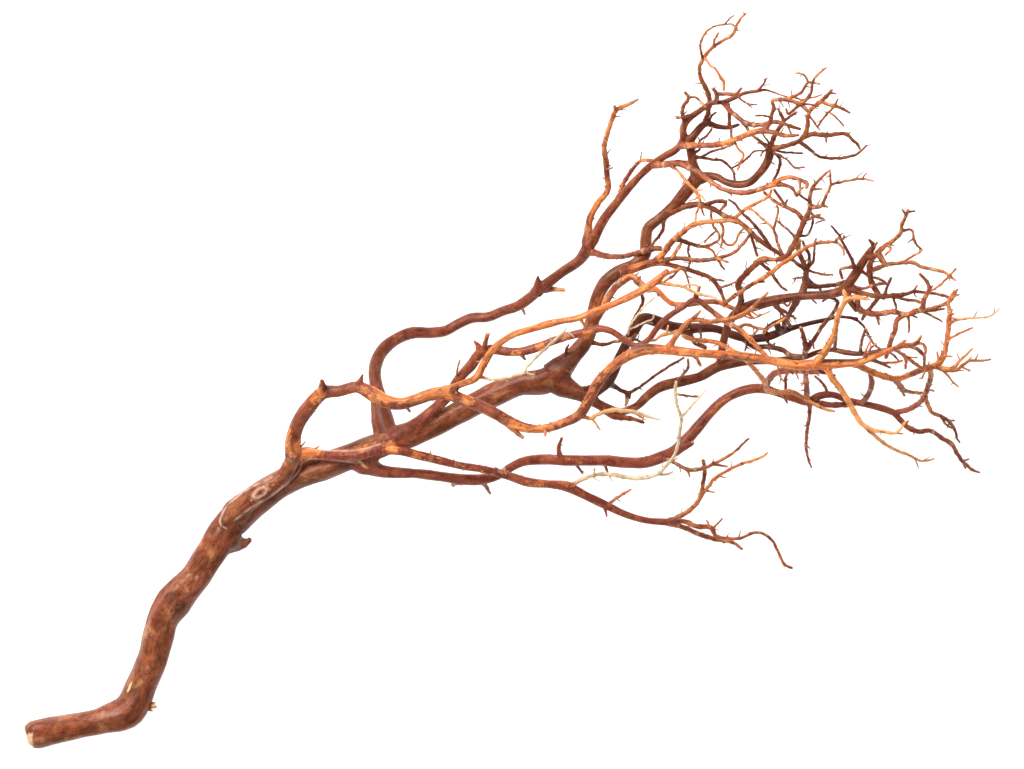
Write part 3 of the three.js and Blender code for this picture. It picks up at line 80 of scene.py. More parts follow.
# Every limb, each after the one that it springs from: its name, that limb's name, its girths,
# the heights of its middle over the ground, and its middle's x and y down the photograph. All are
# in px. Girths and heights are spread evenly over the limb, and a limb starts at its parent's
# height, ahead of the heights that it lists. No twig grows from a limb that has no name.
LIMBS = [
    # The stem from its sawn base, and the leader that carries on from it through the crown.
    ["stem", "",
      [30, 27, 27, 33, 30, 30, 32, 32, 35, 30, 31, 33, 32, 30, 27, 27, 26, 27, 25, 24, 24, 24, 23, 27, 22],
      [16.5, 14.2, 13.2, 14.4, 17.5, 21, 24, 28, 32, 37, 42, 47, 51, 56, 62, 66, 70, 74, 77, 80, 84, 88,
       91, 95, 98],
      [25, 736.5, 60, 729.5, 100, 722, 128, 711, 142, 684, 152, 660, 157, 640, 162, 620, 173, 602, 192, 581,
       206, 560, 219, 540, 234, 520, 254, 502, 280, 484, 306, 473, 340, 461, 378, 446, 410, 436, 440, 423,
       470, 407, 497, 394, 520, 385, 545, 380.5, 562, 371]],
    ["leader", "stem",
      [22, 19, 17, 16, 15, 14, 13, 14, 13, 12, 12, 12, 11.5, 11, 11, 12, 13, 13, 9, 9, 9, 8, 7, 6, 5, 3.5],
      [98, 103, 110, 116, 122, 128, 133, 140, 146, 150, 146, 142],
      [545, 380, 561, 369, 574, 356, 585, 342, 591, 327, 594, 312, 597, 298, 605, 283, 617, 273, 634, 265,
       645, 254, 646, 240, 648, 229, 657, 221, 668, 212, 677, 203, 687, 191, 696, 178, 693, 164, 691, 152,
       690, 143, 697, 132, 706, 124, 717, 127, 729, 128, 739, 125]],
    ["side_stem", "stem", [18, 22, 22, 16, 16], [63, 72, 80, 86],
      [230, 526, 243, 506, 262, 491, 284, 475, 294, 457]],
    # Limbs that spring from the side stem: the ring, the bright and high limbs beyond it, and the low limb.
    ["ring", "side_stem",
      [17, 15, 14, 14, 13, 11, 12, 15, 13, 12, 12, 12, 14], [104, 124, 138, 146, 152, 156],
      [292, 457, 293, 440, 298, 423, 309, 407, 323, 393, 340, 391, 358, 387, 373, 394, 388, 402, 402, 404,
       417, 400, 431, 395, 444, 393]],
    ["bright", "ring",
      [13, 12, 12, 12, 11, 9, 9, 9, 10, 11, 11, 10, 10, 12, 10, 9, 9, 9, 9, 10, 11, 10, 8.5, 7.5, 6.5,
       5.5, 5, 4.5, 3],
      [164, 170, 176, 184, 194, 204, 212, 220, 228, 238, 250],
      [444, 393, 461, 399, 479, 406, 499, 416, 516, 425, 533, 429, 548, 428, 563, 423, 579, 415, 589, 399,
       597, 384, 608, 371, 622, 360, 640, 351, 660, 350, 690, 353, 720, 355, 745, 357, 770, 361, 795, 366,
       812, 365.5, 828, 364.5, 845, 363.5, 860, 362, 875, 356, 890, 350, 903, 346, 914, 344, 920, 336]],
    ["high", "ring", [9, 7, 8, 8, 7.5, 7, 7, 7, 8, 6.5, 6.5, 7.5, 7, 8, 8, 5], [166, 184, 200, 212, 222],
      [442, 391, 460, 385, 476, 378, 484, 364, 493, 350, 504, 340.5, 515, 334.5, 530, 330, 547, 325,
       562, 321.5, 576, 319, 592, 313, 617, 303, 640, 292, 655, 282, 667, 271]],
    ["low", "side_stem",
      [16, 13, 11, 11, 12, 11, 10, 9.5, 9, 8.5, 8, 8, 8.5, 9, 10, 8, 11, 9, 9, 7.5, 7, 7.5],
      [86, 89, 90, 86, 78, 66, 52, 39, 30],
      [292, 457, 305, 454, 322, 455, 345, 456, 360, 455, 373, 451, 386, 450, 400, 451, 420, 456, 440, 461,
       460, 466, 480, 469, 497, 473, 511, 477, 528, 482.5, 548, 484.5, 567, 487, 585, 495.5, 606, 505.5,
       626, 515,
       646, 521, 668, 523]],
    ["low_hook", "low", [5.5, 5, 4.5, 4.5, 4, 4, 3], [34, 44, 56, 64],
      [666, 522, 680, 517, 692, 509, 700, 499, 703, 486, 705, 470, 703, 460]],
    ["low_foot", "low", [6, 5, 5, 4.6, 3.5, 2.5], [20, 10, 1.8, 2.6, 6],
      [666, 523, 684, 528, 700, 535, 716, 540, 733, 543, 743, 550]],
    ["low_tail", "low", [5, 5, 5, 5, 4, 3.5, 3, 3, 3, 3, 3, 2.5], [27, 25, 20, 20, 26, 22, 12, 5],
      [666, 522, 684, 522, 697, 527, 711, 528, 717, 537, 727, 539, 740, 539, 757, 533, 771, 539, 779, 553,
       785, 565, 793, 569]],
    ["low_cream", "low",
      [4.5, 4, 4, 4.5, 4.2, 4.2, 3.8, 3.2, 3, 3, 3, 3, 3, 3.4, 3], [82, 92, 104, 114, 124, 136, 146],
      [569, 485, 582, 480, 596, 475, 614, 475, 628, 478, 645, 478, 658, 474, 667, 465, 674, 456, 678, 444,
       680, 430, 681, 418, 677, 406, 675, 392, 676, 382]],
    ["", "low_cream", [3, 2.5, 2.5, 2], [150, 165], [681, 418, 688, 410, 694, 403, 705, 391]],
    ["low_link", "low_cream", [2.4, 2.2, 2.2], [152, 160], [676, 394, 686, 396, 700, 397]],
    ["", "low_cream", [3, 2.5, 1.5], [100], [658, 474, 666, 475, 673, 472]],
    ["", "low_cream", [2.5, 1.5], [98], [594, 476, 595, 468]],
    ["low_fork", "low_hook", [3, 3.5, 3.5, 3, 3, 3, 2.5, 2], [52, 60, 66, 72],
      [701, 497, 708, 488, 714, 480, 726, 472, 740, 465, 753, 461, 763, 457, 768, 453]],
    ["", "low_fork", [2.5, 1.5], [46], [706, 491, 715, 493]],
    ["", "low_tail", [2.5, 1.8], [34], [711, 528, 707, 521]],
    ["", "low_tail", [2.5, 1.8], [30], [713, 529, 723, 519]],
    ["", "low", [4, 3, 3, 2], [62, 70], [608, 506, 616, 499, 624, 494, 631, 490]],
    ["", "low", [4, 2], [44], [604, 505, 607, 517]],
    # The upper limb, which dips to the ground and rises into the top of the crown.
    ["upper", "stem",
      [24, 21, 19, 14, 13, 13, 13, 12, 12, 11, 11, 11, 11, 10, 10, 10, 11, 11, 10, 11, 14],
      [66, 52, 38, 22, 11, 5, 4, 8.5, 22, 38, 56, 74],
      [388, 442, 384, 426, 380, 407, 376, 388, 374, 371, 378, 357, 387, 346, 399, 338, 413, 333, 430, 333,
       445, 331, 458, 324, 472, 318, 488, 317, 503, 311, 518, 306, 531, 297, 543, 287, 563, 272, 579, 261,
       588, 248]],
    ["upper_left", "upper", [10, 8, 6.5, 6, 6, 5.5, 6, 5, 5, 4.5, 5, 4, 2], [84, 100, 116, 132, 142],
      [587, 248, 588, 233, 591, 216, 599, 202, 608, 190, 607, 176, 606, 161, 604, 150, 607, 135, 612, 120,
       616, 111, 628, 105, 638, 100]],
    ["", "upper_left", [2.5, 1.6], [128], [607, 170, 613, 168]],
    ["", "upper_left", [4, 3], [142], [616, 111, 614, 106]],
    ["upper_top", "upper",
      [11, 11, 10, 9.5, 8.5, 8, 8, 8, 8, 7.5, 7.5, 7, 6, 6, 5, 5, 4.5, 4, 3, 2.5, 2.5],
      [94, 114, 130, 146, 162, 174, 186, 196, 204],
      [587, 248, 595, 237, 604, 220, 616, 204, 628, 189, 640, 176, 651, 166, 664, 157, 676, 150, 683, 140,
       683, 129, 688, 120, 699, 112, 711, 104, 722, 103, 733, 99, 744, 94, 757, 92, 765, 91, 780, 96, 790,
       99]],
    ["upper_sweep", "upper_top",
      [6.5, 6, 5.5, 6, 6, 5, 4.5, 5, 5, 5, 6, 4, 3], [152, 162, 170, 178, 186, 192],
      [652, 168, 666, 165, 680, 165, 692, 170, 703, 177, 713, 184, 723, 190, 735, 193, 748, 193, 762, 189,
       774, 185, 785, 186, 793, 189]],
    ["", "upper_sweep", [3.5, 3, 2.8, 2.6, 2], [188, 184],
     [789, 187, 793, 191, 796, 197, 799, 191, 803, 188]],
    ["upper_arc", "upper_sweep", [5, 4.5, 4.5, 4, 4, 3], [200, 206],
      [772, 186, 780, 180, 790, 178, 800, 181, 807, 185, 805, 189]],
    ["", "upper_arc", [3, 2.5], [204], [799, 181, 799, 189]],
    ["upper_cross", "upper_top", [6.5, 6, 5.5, 5.5, 5.5, 6, 6, 5, 4, 2.5], [188, 202, 214, 222, 226],
      [679, 147, 695, 146, 712, 146, 724, 144, 736, 140, 748, 135, 760, 132, 770, 133, 785, 137, 798, 136]],
    ["upper_rise", "upper_cross", [5, 4.5, 4, 4, 4, 3.5, 3.5, 3, 3, 2.5, 2.5, 2], [230, 240, 250, 260],
      [762, 132, 769, 124, 771, 115, 773, 108, 771, 102, 782, 101, 792, 98, 800, 94, 804, 88, 807, 84,
       811, 84, 819, 86]],
    ["", "upper_rise", [2.5, 2.5, 2, 1.8], [272], [807, 84, 804, 78, 799, 75, 794, 75]],
    ["", "upper_rise", [2.2, 2, 1.8, 1.5], [250], [792, 98, 801, 101, 811, 99, 821, 96]],
    ["", "upper_rise", [2.2, 1.8], [244], [771, 119, 763, 117, 754, 117]],
    ["rise_fork", "upper_rise", [4, 4, 4, 4, 3.5], [244, 240],
      [774, 102, 786, 101, 795, 104, 801, 107, 807, 113]],
    ["", "rise_fork", [2.5, 2.2, 1.6], [246], [799, 106, 809, 106, 818, 108]],
    ["", "rise_fork", [4.5, 4, 3, 3, 2.5, 2.5, 1.8], [250, 262, 274],
      [798, 105, 805, 101, 810, 94, 811, 85, 814, 79, 819, 74, 825, 69]],
    ["", "rise_fork", [3.5, 3, 3, 2], [232], [799, 106, 793, 111, 787, 115, 785, 110]],
    ["upper_loop", "upper_top", [5, 5, 5, 5, 4.5, 4, 4, 3.5, 3.5, 3], [196, 202, 206, 208],
      [722, 103, 729, 111, 738, 119, 748, 125, 758, 126, 768, 124, 778, 123, 784, 125, 792, 128, 800, 130]],
    ["", "upper_loop", [4, 3], [190], [740, 121, 748, 131]],
    ["", "upper_loop", [2.5, 2], [196], [787, 126, 791, 136]],
    ["upper_bow", "upper_top", [4, 4, 4, 3.5, 3], [190, 204],
      [683, 124, 682, 115, 683, 107, 688, 99, 684, 93]],
    ["", "upper_bow", [2.5, 2.5, 2.5, 2], [214], [688, 99, 694, 98, 700, 103, 705, 108]],
    ["", "upper_top", [3, 3, 2.5], [178], [696, 114, 686, 117, 676, 119]],
    ["", "upper_top", [2.5, 2, 1.8], [206], [738, 97, 742, 102, 749, 105, 756, 106]],
    ["", "upper_top", [3, 2.5, 2], [216], [757, 92, 762, 86, 766, 79]],
    ["top_knot", "upper_top", [5, 4.5, 3], [200, 208], [716, 103, 716, 95, 712, 89]],
    ["", "top_knot", [4, 4, 3.5, 2.5], [206], [716, 95, 726, 95, 735, 95, 741, 89]],
    ["", "upper_top", [5, 5, 4.5, 4, 3.5, 3.5, 4, 4, 3], [90, 104, 118, 122],
      [620, 203, 621, 190, 625, 181, 633, 169, 641, 161, 652, 161, 665, 163, 680, 162, 691, 163]],
    ["amber", "upper_sweep", [3, 3, 3.5, 4, 3.5, 3], [158, 164, 160],
      [668, 165, 677, 171, 686, 182, 694, 190, 699, 199, 700, 206]],
    ["", "amber", [2.5, 2.5, 2], [168], [700, 206, 696, 214, 695, 223]],
    ["", "amber", [2.5, 1.8], [150], [700, 207, 704, 216]],
    ["", "amber", [2.2, 1.6], [164], [697, 193, 702, 197, 705, 202]],
    ["", "amber", [2, 1.5], [160], [698, 197, 694, 200, 689, 201]],
    ["", "amber", [1.9, 1.5], [166], [696, 191, 702, 190]],
    ["", "upper", [7, 6, 5, 5, 6, 6, 5], [98, 122, 139, 142],
      [590, 252, 605, 256, 620, 257, 635, 254, 645, 251, 653, 249, 661, 249]],
    ["", "upper", [5, 2], [6], [519, 303, 525, 314]],
    ["", "upper", [15, 10, 5, 2.6], [46, 50], [539, 294, 538.5, 287, 538, 281, 538, 276]],
    ["upper_stub", "upper", [10, 5.5, 4, 4], [40, 44], [541, 289, 550, 289, 557, 289.5, 564, 290]],
    # The hook above the leader, with the two loops of its tip.
    ["hook", "leader", [5, 5, 5.5, 5, 4.5, 4, 4, 3.5, 3.5, 3, 3.5, 3, 2.5, 2], [172, 192, 210, 222, 230],
      [705, 125, 708, 112, 709, 99, 705, 88, 700, 78, 699, 69, 702, 61, 707, 54, 713, 48, 722, 42, 732,
       36, 735, 29, 739, 21, 745, 15]],
    ["hook_loop", "hook", [3, 2.5, 2.5, 2.5, 2, 2, 2, 1.8], [226, 236, 244],
      [702, 60, 700, 50, 701, 41, 706, 33, 713, 28, 724, 26, 731, 26, 737, 30]],
    ["", "hook_loop", [2, 1.6], [250], [724, 26, 728, 21, 733, 17]],
    ["", "hook", [2.5, 2.5, 2.5, 3, 3.5, 3], [206, 198],
      [704, 58, 709, 66, 715, 70, 719, 77, 723, 82, 723, 91]],
    ["", "hook", [3, 2.5, 2], [236], [713, 48, 714, 41, 718, 34]],
    ["", "leader", [3, 2.5, 2], [160], [708, 124, 712, 116, 716, 113]],
    ["", "leader", [4, 4, 3], [156], [729, 128, 729, 115, 727, 100]],
    ["", "leader", [3, 3], [166], [731, 128, 731, 139]],
    ["dark_reach", "leader", [5, 3, 3, 3, 2.5, 2.5, 2.5], [142, 136, 132],
      [692, 158, 700, 158, 712, 160, 722, 161, 728, 166, 733, 172, 735, 182]],
    ["", "dark_reach", [3, 2.5, 2.5, 2.5], [158], [700, 158, 712, 152, 722, 149, 733, 145]],
    ["", "dark_reach", [2, 2.5, 2, 2], [124], [731, 169, 740, 164, 748, 158, 754, 152, 765, 151]],
    ["", "leader", [3, 2.5, 2.5, 2], [164], [692, 155, 699, 150, 699, 142, 707, 136, 712, 128]],
    ["", "upper_cross", [2.5, 2.5, 2.5, 2], [186], [733, 141, 738, 150, 743, 155, 740, 163, 737, 171]],
    ["", "leader", [5, 4, 3.5, 3, 2.5], [112, 104], [667, 213, 664, 222, 662, 232, 656, 240, 651, 247]],
    # The bough that swings over to the top right of the crown.
    ["bough", "leader", [10, 9, 8, 7.5, 8, 8, 8, 8, 9, 8], [148, 158, 166, 172],
      [695, 180, 706, 177, 716, 177, 725, 182, 737, 185, 749, 183, 758, 175, 765, 166, 769, 156, 770, 146]],
    ["bough_end", "bough", [5.5, 5, 5, 5, 4.5, 4, 4, 4.5, 4, 3], [178, 186, 196, 208, 216],
      [770, 149, 784, 147, 798, 142, 804, 136, 807, 126, 807, 118, 810, 111, 818, 104, 826, 97, 831, 91]],
    ["", "bough_end", [2.5, 1.8], [222], [829, 94, 835, 95]],
    ["", "bough_end", [2.6, 2.2, 1.6], [200], [807, 116, 812, 121, 816, 127, 819, 131]],
    ["star", "bough_end", [3.5, 3.5, 4, 3, 2.5], [214, 206],
      [820, 102, 828, 106, 834, 107, 842, 110, 849, 114]],
    ["star_leg", "star", [2.5, 2.5, 2], [196], [834, 107, 828, 113, 822, 120, 817, 128]],
    ["", "star", [2.5, 2], [222], [834, 107, 837, 100]],
    ["", "star_leg", [2, 2, 2], [190], [828, 113, 836, 119, 843, 127]],
    ["bough_low", "bough_end", [5, 4.5, 5, 4, 4, 3.5, 3.5, 2], [188, 182, 176],
      [803, 138, 812, 135, 825, 136, 836, 135, 846, 135, 851, 140, 857, 145, 859, 150]],
    ["", "bough_low", [4, 1.8], [172], [825, 136, 826, 143]],
    ["", "bough_end", [4.5, 4, 3, 3, 3, 3, 2.5, 2.5, 1.8], [166, 156, 150, 148],
      [798, 142, 808, 149, 815, 155, 822, 158, 835, 159, 845, 158, 856, 155, 861, 151, 866, 146]],
    ["bough_up", "bough", [5, 5, 4.5, 4.5, 3.5, 2], [184, 196],
      [770, 150, 773, 139, 777, 131, 783, 122, 780, 115, 777, 110]],
    ["", "bough_up", [3, 3, 2.5], [206], [783, 122, 790, 117, 796, 113]],
    ["", "bough_up", [2.6, 2.2, 1.6], [188], [770, 147, 763, 144, 757, 144]],
    ["", "bough_up", [2.6, 2, 1.6], [190], [770, 146, 765, 139, 761, 133]],
    ["", "bough_up", [2.4, 1.8], [182], [769, 149, 763, 152, 760, 157]],
    ["", "bough", [3, 2.5, 2.5], [152], [770, 150, 785, 153, 802, 154]],
    ["", "bough", [3.5, 3.5, 3.5, 3, 3], [146, 138], [770, 152, 779, 158, 779, 168, 777, 174, 773, 181]],
    ["", "bough", [2.5, 2.5, 2, 2.5, 2], [190], [770, 152, 779, 156, 786, 160, 794, 168, 804, 168]],
    ["", "bough", [3.5, 4, 3.5, 3], [158], [769, 151, 762, 144, 752, 136]],
    ["", "bough", [2, 1.6], [180], [767, 161, 774, 165]],
    # The arm under the bough, and the mesh of twigs around it.
    ["arm", "leader", [8, 6.5, 6, 5, 5, 5, 5, 5, 4.5, 4.5, 4], [140, 146, 150, 146, 142],
      [667, 212, 684, 207, 699, 205, 712, 209, 724, 216, 738, 222, 748, 230, 757, 239, 768, 247, 776, 252,
       784, 258]],
    ["", "arm", [3.5, 3, 3, 3], [130], [749, 231, 753, 243, 757, 256]],
    ["", "arm", [4, 4, 3.5, 3, 3, 2.5, 2], [156, 168, 176],
      [771, 249, 765, 240, 758, 230, 750, 221, 741, 213, 735, 205, 728, 200]],
    ["arm_gold", "arm", [4, 3.5, 3.5, 3, 3, 2.5], [170, 186, 196],
      [733, 220, 741, 213, 748, 208, 758, 203, 768, 197, 771, 190]],
    ["", "arm", [4.5, 4, 4, 3], [142], [704, 206, 715, 202, 726, 203, 721, 210]],
    ["", "arm_gold", [2.5, 2, 2], [200], [748, 208, 755, 213, 765, 222, 772, 228]],
    # Limbs that leave the leader low in the crown and run out over it.
    ["span", "leader", [10, 9, 8, 8], [132, 143, 150], [620, 272, 638, 267, 652, 263, 664, 262]],
    ["span_arch", "span", [6, 6, 6.5, 5.5, 5, 4.5, 4.5, 4.5, 4, 4], [164, 176, 186, 190],
      [654, 263, 663, 254, 670, 244, 680, 235, 690, 227, 702, 223, 716, 222, 730, 221, 742, 225, 750, 232]],
    ["span_wire", "span_arch", [4.5, 4, 3.5, 3, 2.5, 2.5, 2.5, 2.5, 2], [152, 140, 134, 132],
      [676, 239, 690, 244, 703, 247, 713, 244, 719, 239, 718, 233, 713, 226, 711, 215, 711, 208]],
    ["", "span_wire", [3, 2.5, 2.5, 2], [124], [689, 244, 688, 252, 690, 262, 688, 268]],
    ["", "span_wire", [3, 2.5, 2.5], [146], [704, 247, 712, 251, 716, 258]],
    ["span_drop", "span_arch", [3, 3, 3, 2.5, 2.5, 2.5, 2.5, 2], [172, 164, 172],
      [720, 222, 723, 230, 722, 240, 729, 246, 735, 243, 738, 235, 743, 229]],
    ["", "span_drop", [2.5, 2], [150], [722, 241, 720, 248]],
    ["span_mid", "span", [5, 4.5, 4.5, 4.5, 4.5, 4, 3.5, 3.5, 3], [156, 166, 174, 180],
      [662, 262, 672, 259, 684, 259, 697, 261, 710, 260, 720, 258, 732, 254, 742, 245, 750, 234]],
    ["", "span_mid", [3, 2], [154], [717, 259, 721, 266, 724, 270]],
    ["", "span_mid", [3, 2], [186], [717, 259, 728, 263]],
    ["span_low", "span", [5, 5, 5, 4.5, 4.5, 4.5, 3.5, 3], [140, 130, 122, 116],
      [660, 262, 672, 266, 684, 269, 697, 273, 710, 278, 718, 287, 722, 295, 725, 303]],
    ["", "span_low", [3, 2.5, 2], [138], [712, 279, 724, 281]],
    ["", "span_low", [3, 2.5, 2], [150], [719, 288, 727, 286, 736, 282]],
    ["", "span_low", [3, 2.2, 1.8], [110], [683, 269, 687, 277, 690, 288]],
    ["", "span_low", [2.6, 2.6, 2.6], [140], [680, 271, 672, 277, 664, 282]],
    ["", "span_low", [2, 2, 1.8], [136], [678, 271, 672, 272, 665, 275]],
    ["span_slip", "span_mid", [3.6, 3.6, 3], [158], [672, 259, 677, 250, 681, 244]],
    ["", "span_wire", [2, 2.2, 1.6], [130, 136], [716, 231, 711, 235.5, 704, 243]],
    ["wand", "leader",
      [8, 7, 7, 7, 7, 7, 7, 6, 6, 5, 5, 5, 5, 5, 5, 4.5], [126, 134, 140, 142, 138, 132, 128, 126],
      [593, 321, 600, 314, 605, 304, 612, 292, 622, 282, 632, 277, 640, 284, 648, 290, 656, 290, 664, 298,
       672, 304, 682, 305, 694, 304, 706, 302, 720, 303, 733, 309]],
    ["crest", "wand", [4, 4, 4, 4, 5, 4, 4.5, 4, 3.5, 3.5, 3, 2.5, 2], [152, 172, 188, 200, 208, 212],
      [724, 304, 735, 296, 748, 287, 760, 280, 771, 273, 779, 266, 790, 259, 801, 251, 813, 245, 824, 243,
       834, 243, 842, 249, 843, 256]],
    ["", "crest", [3, 2.5], [160], [757, 282, 764, 282]],
    ["", "crest", [3, 2.5, 2.5, 2], [228], [834, 243, 837, 239, 842, 240, 843, 236]],
    ["", "crest", [3, 2], [222], [814, 245, 815, 239]],
    # The red limb, which crosses over the leader.
    ["red", "stem",
      [18, 15, 13, 12, 12, 11, 11, 11, 10, 9, 9, 9, 8, 8, 8, 7.5, 6.5, 6.5, 6, 6, 6.5, 6, 5.5, 6, 6, 5],
      [90, 100, 110, 118, 126, 134, 142, 148, 156, 164, 172],
      [390, 442, 406, 431, 423, 419, 439, 405, 451, 392, 460, 378, 471, 366, 481, 353, 493, 350, 507, 352,
       522, 352, 538, 347.5, 553, 341.5, 572, 335.5, 590, 331.5, 600, 329, 612, 332, 624, 340, 636, 346,
       648, 340,
       657, 328, 668, 317, 682, 308, 695, 300, 707, 308, 718, 317]],
    ["red_end", "red", [6, 5.5, 5, 5, 4.5, 4.5, 4], [184, 190, 196],
      [714, 315, 727, 323, 740, 331, 752, 342, 761, 352, 768, 359]],
    ["", "red", [6, 4, 2], [176], [695, 300, 697, 292, 700, 287]],
    ["", "red", [7, 5, 2], [120], [481, 353, 478, 346, 474, 341]],
    ["", "red", [5, 4.5, 4], [136], [483, 352, 485, 344, 488, 334]],
    ["", "red", [3, 2, 1.6], [122], [458, 381, 457, 372, 460, 360]],
    ["", "red", [5, 2.5], [112], [521, 352, 525, 360]],
    ["red_spur", "red_end", [4, 3.5, 3, 3, 2.5], [166],
      [737, 329, 745, 325, 755, 328, 764, 330, 763, 334]],
    # Twigs and spurs of the ring and of the bright and high limbs.
    ["", "ring", [10, 5], [142], [322, 391, 322, 381]],
    ["", "ring", [7, 2], [146], [358, 387, 363, 375]],
    ["", "ring", [5, 2], [138], [404, 403, 410, 412]],
    ["", "bright", [7, 5.5, 3.5], [162], [500, 414, 510, 427, 523, 438]],
    ["bright_pale", "bright", [4, 4, 4.2, 4.5, 4.5, 4, 2.8, 1.8], [176, 170, 166, 162],
      [579, 415, 590, 418.5, 600, 413.5, 611, 410.5, 624, 411, 637, 413, 648, 417, 660, 420]],
    ["", "bright_pale", [2.5, 1.6], [164], [592, 419, 600, 430]],
    ["", "bright_pale", [3, 2], [154], [633, 413, 643, 419]],
    ["", "bright", [4.5, 2.5], [184], [545, 428, 545, 436]],
    ["flame", "bright", [6, 5.5, 5.5, 5, 4.5, 5, 5, 4.5, 3.5, 2.5], [210, 222, 232, 240, 246],
      [666, 350, 676, 336, 684, 326, 692, 320, 705, 322, 720, 321, 735, 318, 747, 312, 757, 303, 767, 293]],
    ["", "flame", [4, 2], [232], [692, 320, 700, 311]],
    ["", "flame", [3.2, 2.4], [236], [746, 313, 752, 318]],
    ["", "flame", [2.2, 1.8, 1.7, 1.5], [240], [750, 312, 757, 316, 762, 315, 769, 312]],
    ["", "flame", [2, 1.8, 1.6], [238], [743, 318, 752, 319, 760, 316]],
    ["", "bright", [5, 3.5, 3], [186], [693, 353, 697, 360, 700, 366]],
    ["", "bright", [5, 4.5, 4.5, 4.5, 4.5, 4], [198, 190, 196, 206],
      [742, 355, 730, 350, 719, 344, 705, 341, 692, 340, 682, 336]],
    ["bright_fall", "bright", [5, 4.5, 4.5, 5.5, 5.5, 5, 5, 4.5, 4, 3.5, 2], [186, 146, 104, 80, 78, 84],
      [740, 357, 748, 363, 757, 373, 764, 382, 767, 390, 778, 393, 791, 392, 800, 396, 812, 403, 824, 409,
       835, 412]],
    ["torch", "bright", [8, 7, 6.5, 5.5, 5.5, 5.5, 5, 5, 5, 3], [238, 252, 264, 274, 280],
      [814, 366, 822, 355, 828, 344, 833, 334, 835, 324, 837, 315, 841, 307, 846, 300, 855, 298, 866, 300]],
    ["", "torch", [5, 4, 3], [260], [843, 304, 844, 296, 842, 291]],
    ["comet", "bright", [6, 6, 6, 5.5, 5.5, 5, 4, 3.5, 3, 2.5], [218, 206, 196, 188, 184],
      [826, 366, 830, 377, 838, 387, 846, 399, 853, 412, 861, 424, 872, 430, 884, 432, 895, 433, 904, 423]],
    ["comet_tail", "comet", [4.5, 4, 3.5, 3, 3, 2.5, 2.5, 2], [180, 166, 152, 140],
      [860, 423, 872, 434, 884, 444, 897, 451, 910, 456, 917, 460, 925, 461, 934, 459]],
    ["", "comet_tail", [2, 1.6], [138], [915, 459, 918, 468]],
    ["", "comet", [2.5, 1.8], [180], [894, 433, 902, 434]],
    ["", "bright", [3.2, 3, 2.2], [186], [808, 367, 805, 377, 801, 386]],
    ["", "bright", [2.2, 1.6], [196], [790, 370, 798, 379]],
    ["", "bright", [2.4, 2, 1.6], [192], [775, 368, 779, 376, 783, 382]],
    ["", "bright", [4, 3.5, 3, 2.5], [206], [812, 367, 820, 372, 829, 374, 834, 376]],
    ["", "bright", [3.5, 3.5, 3, 3], [262], [893, 350, 900, 344, 904, 341]],
    ["", "bright", [4, 4, 4, 3.5, 3], [216, 206], [898, 347, 910, 347, 918, 351, 923, 357, 923, 366]],
    ["", "bright", [4, 3, 2.5], [224], [868, 358, 880, 364, 889, 368]],
    ["", "bright", [2.5, 2], [250], [862, 360, 869, 349, 875, 344]],
    ["", "bright", [2.2, 1.8, 1.6], [244], [861, 359, 865, 350, 869, 342]],
    ["", "bright", [3.2, 3, 3.2, 3], [246, 236], [912, 343, 921, 344, 924, 350, 923, 356]],
    ["high_grey", "high", [3, 3, 3, 3.2, 3, 2.8, 3, 3, 3, 2.6, 2], [164, 160, 166],
      [478, 376, 488, 379, 500, 379.5, 512, 376.5, 524, 372.5, 527, 367, 535, 358.5, 545, 349.5, 553, 342,
       560, 335.5, 566, 329]],
    ["", "high_grey", [2.4, 2.2, 1.8], [161], [526, 371, 529, 374, 534, 375]],
    ["", "high_grey", [2.4, 2.2, 1.8], [164], [562, 334, 568, 333, 574, 337.5]],
    ["high_web", "high", [4, 3.5, 3, 3, 3, 3, 2], [214, 206, 200],
      [655, 282, 668, 285, 682, 287, 692, 292, 705, 296, 716, 298]],
    ["", "high", [3.5, 3, 3], [204], [659, 279, 670, 273, 680, 269]],
    ["", "high", [3.4, 2.6, 2], [194], [580, 319, 584, 326, 586, 331]],
    ["", "high_web", [2, 2, 2, 2], [206], [682, 286, 690, 285, 697, 286.5, 696, 292]],
    ["red_wisp", "red", [2.5, 2.5, 4, 3, 2.4], [160, 166],
     [647, 343, 655, 340, 663, 335, 670, 334, 677, 331]],
    ["", "red_wisp", [2.6, 2], [172], [666, 334, 668, 326]],
    # The far side of the crown: limbs that the bright limb carries out to the right.
    ["rim", "bright",
      [7, 6.5, 6.5, 6.5, 6, 6, 7, 7, 6, 5, 5, 5, 4.5, 4, 4, 3], [206, 190, 180, 174, 172, 174, 180],
      [848, 363, 858, 366, 870, 372, 884, 377, 898, 379, 911, 374, 924, 369, 936, 365, 942, 358, 945, 347,
       947, 335, 948, 322, 949, 311, 947, 304, 950, 298, 954, 291]],
    ["", "rim", [5, 4.5, 4, 3.5, 3], [150], [896, 379, 900, 386, 905, 391, 915, 393, 922, 393]],
    ["", "rim", [5, 4, 2.5], [164], [893, 379, 899, 388, 904, 396]],
    ["rim_fall", "rim", [6, 5.5, 5.5, 5, 4.5, 4, 4, 3.5, 3, 2.5, 2], [150, 132, 116, 102, 92],
      [929, 367, 930, 378, 927, 388, 925, 397, 928, 406, 932, 413, 942, 417, 950, 423, 955, 430, 957, 438,
       960, 443]],
    ["", "rim_fall", [2.5, 2], [96], [948, 421, 955, 421]],
    ["", "rim_fall", [3, 2.5, 2], [108], [940, 416, 946, 425, 953, 429]],
    ["rim_spray", "rim", [4.5, 4.5, 4, 3.5, 2.5, 2], [186, 198],
      [934, 366, 945, 369, 952, 368, 960, 360, 971, 349]],
    ["rim_tip", "rim", [4, 3.5, 3.5, 3, 3, 2.5, 2], [162, 154, 150],
      [933, 367, 944, 371, 957, 370, 961, 366, 970, 361, 980, 361, 990, 360]],
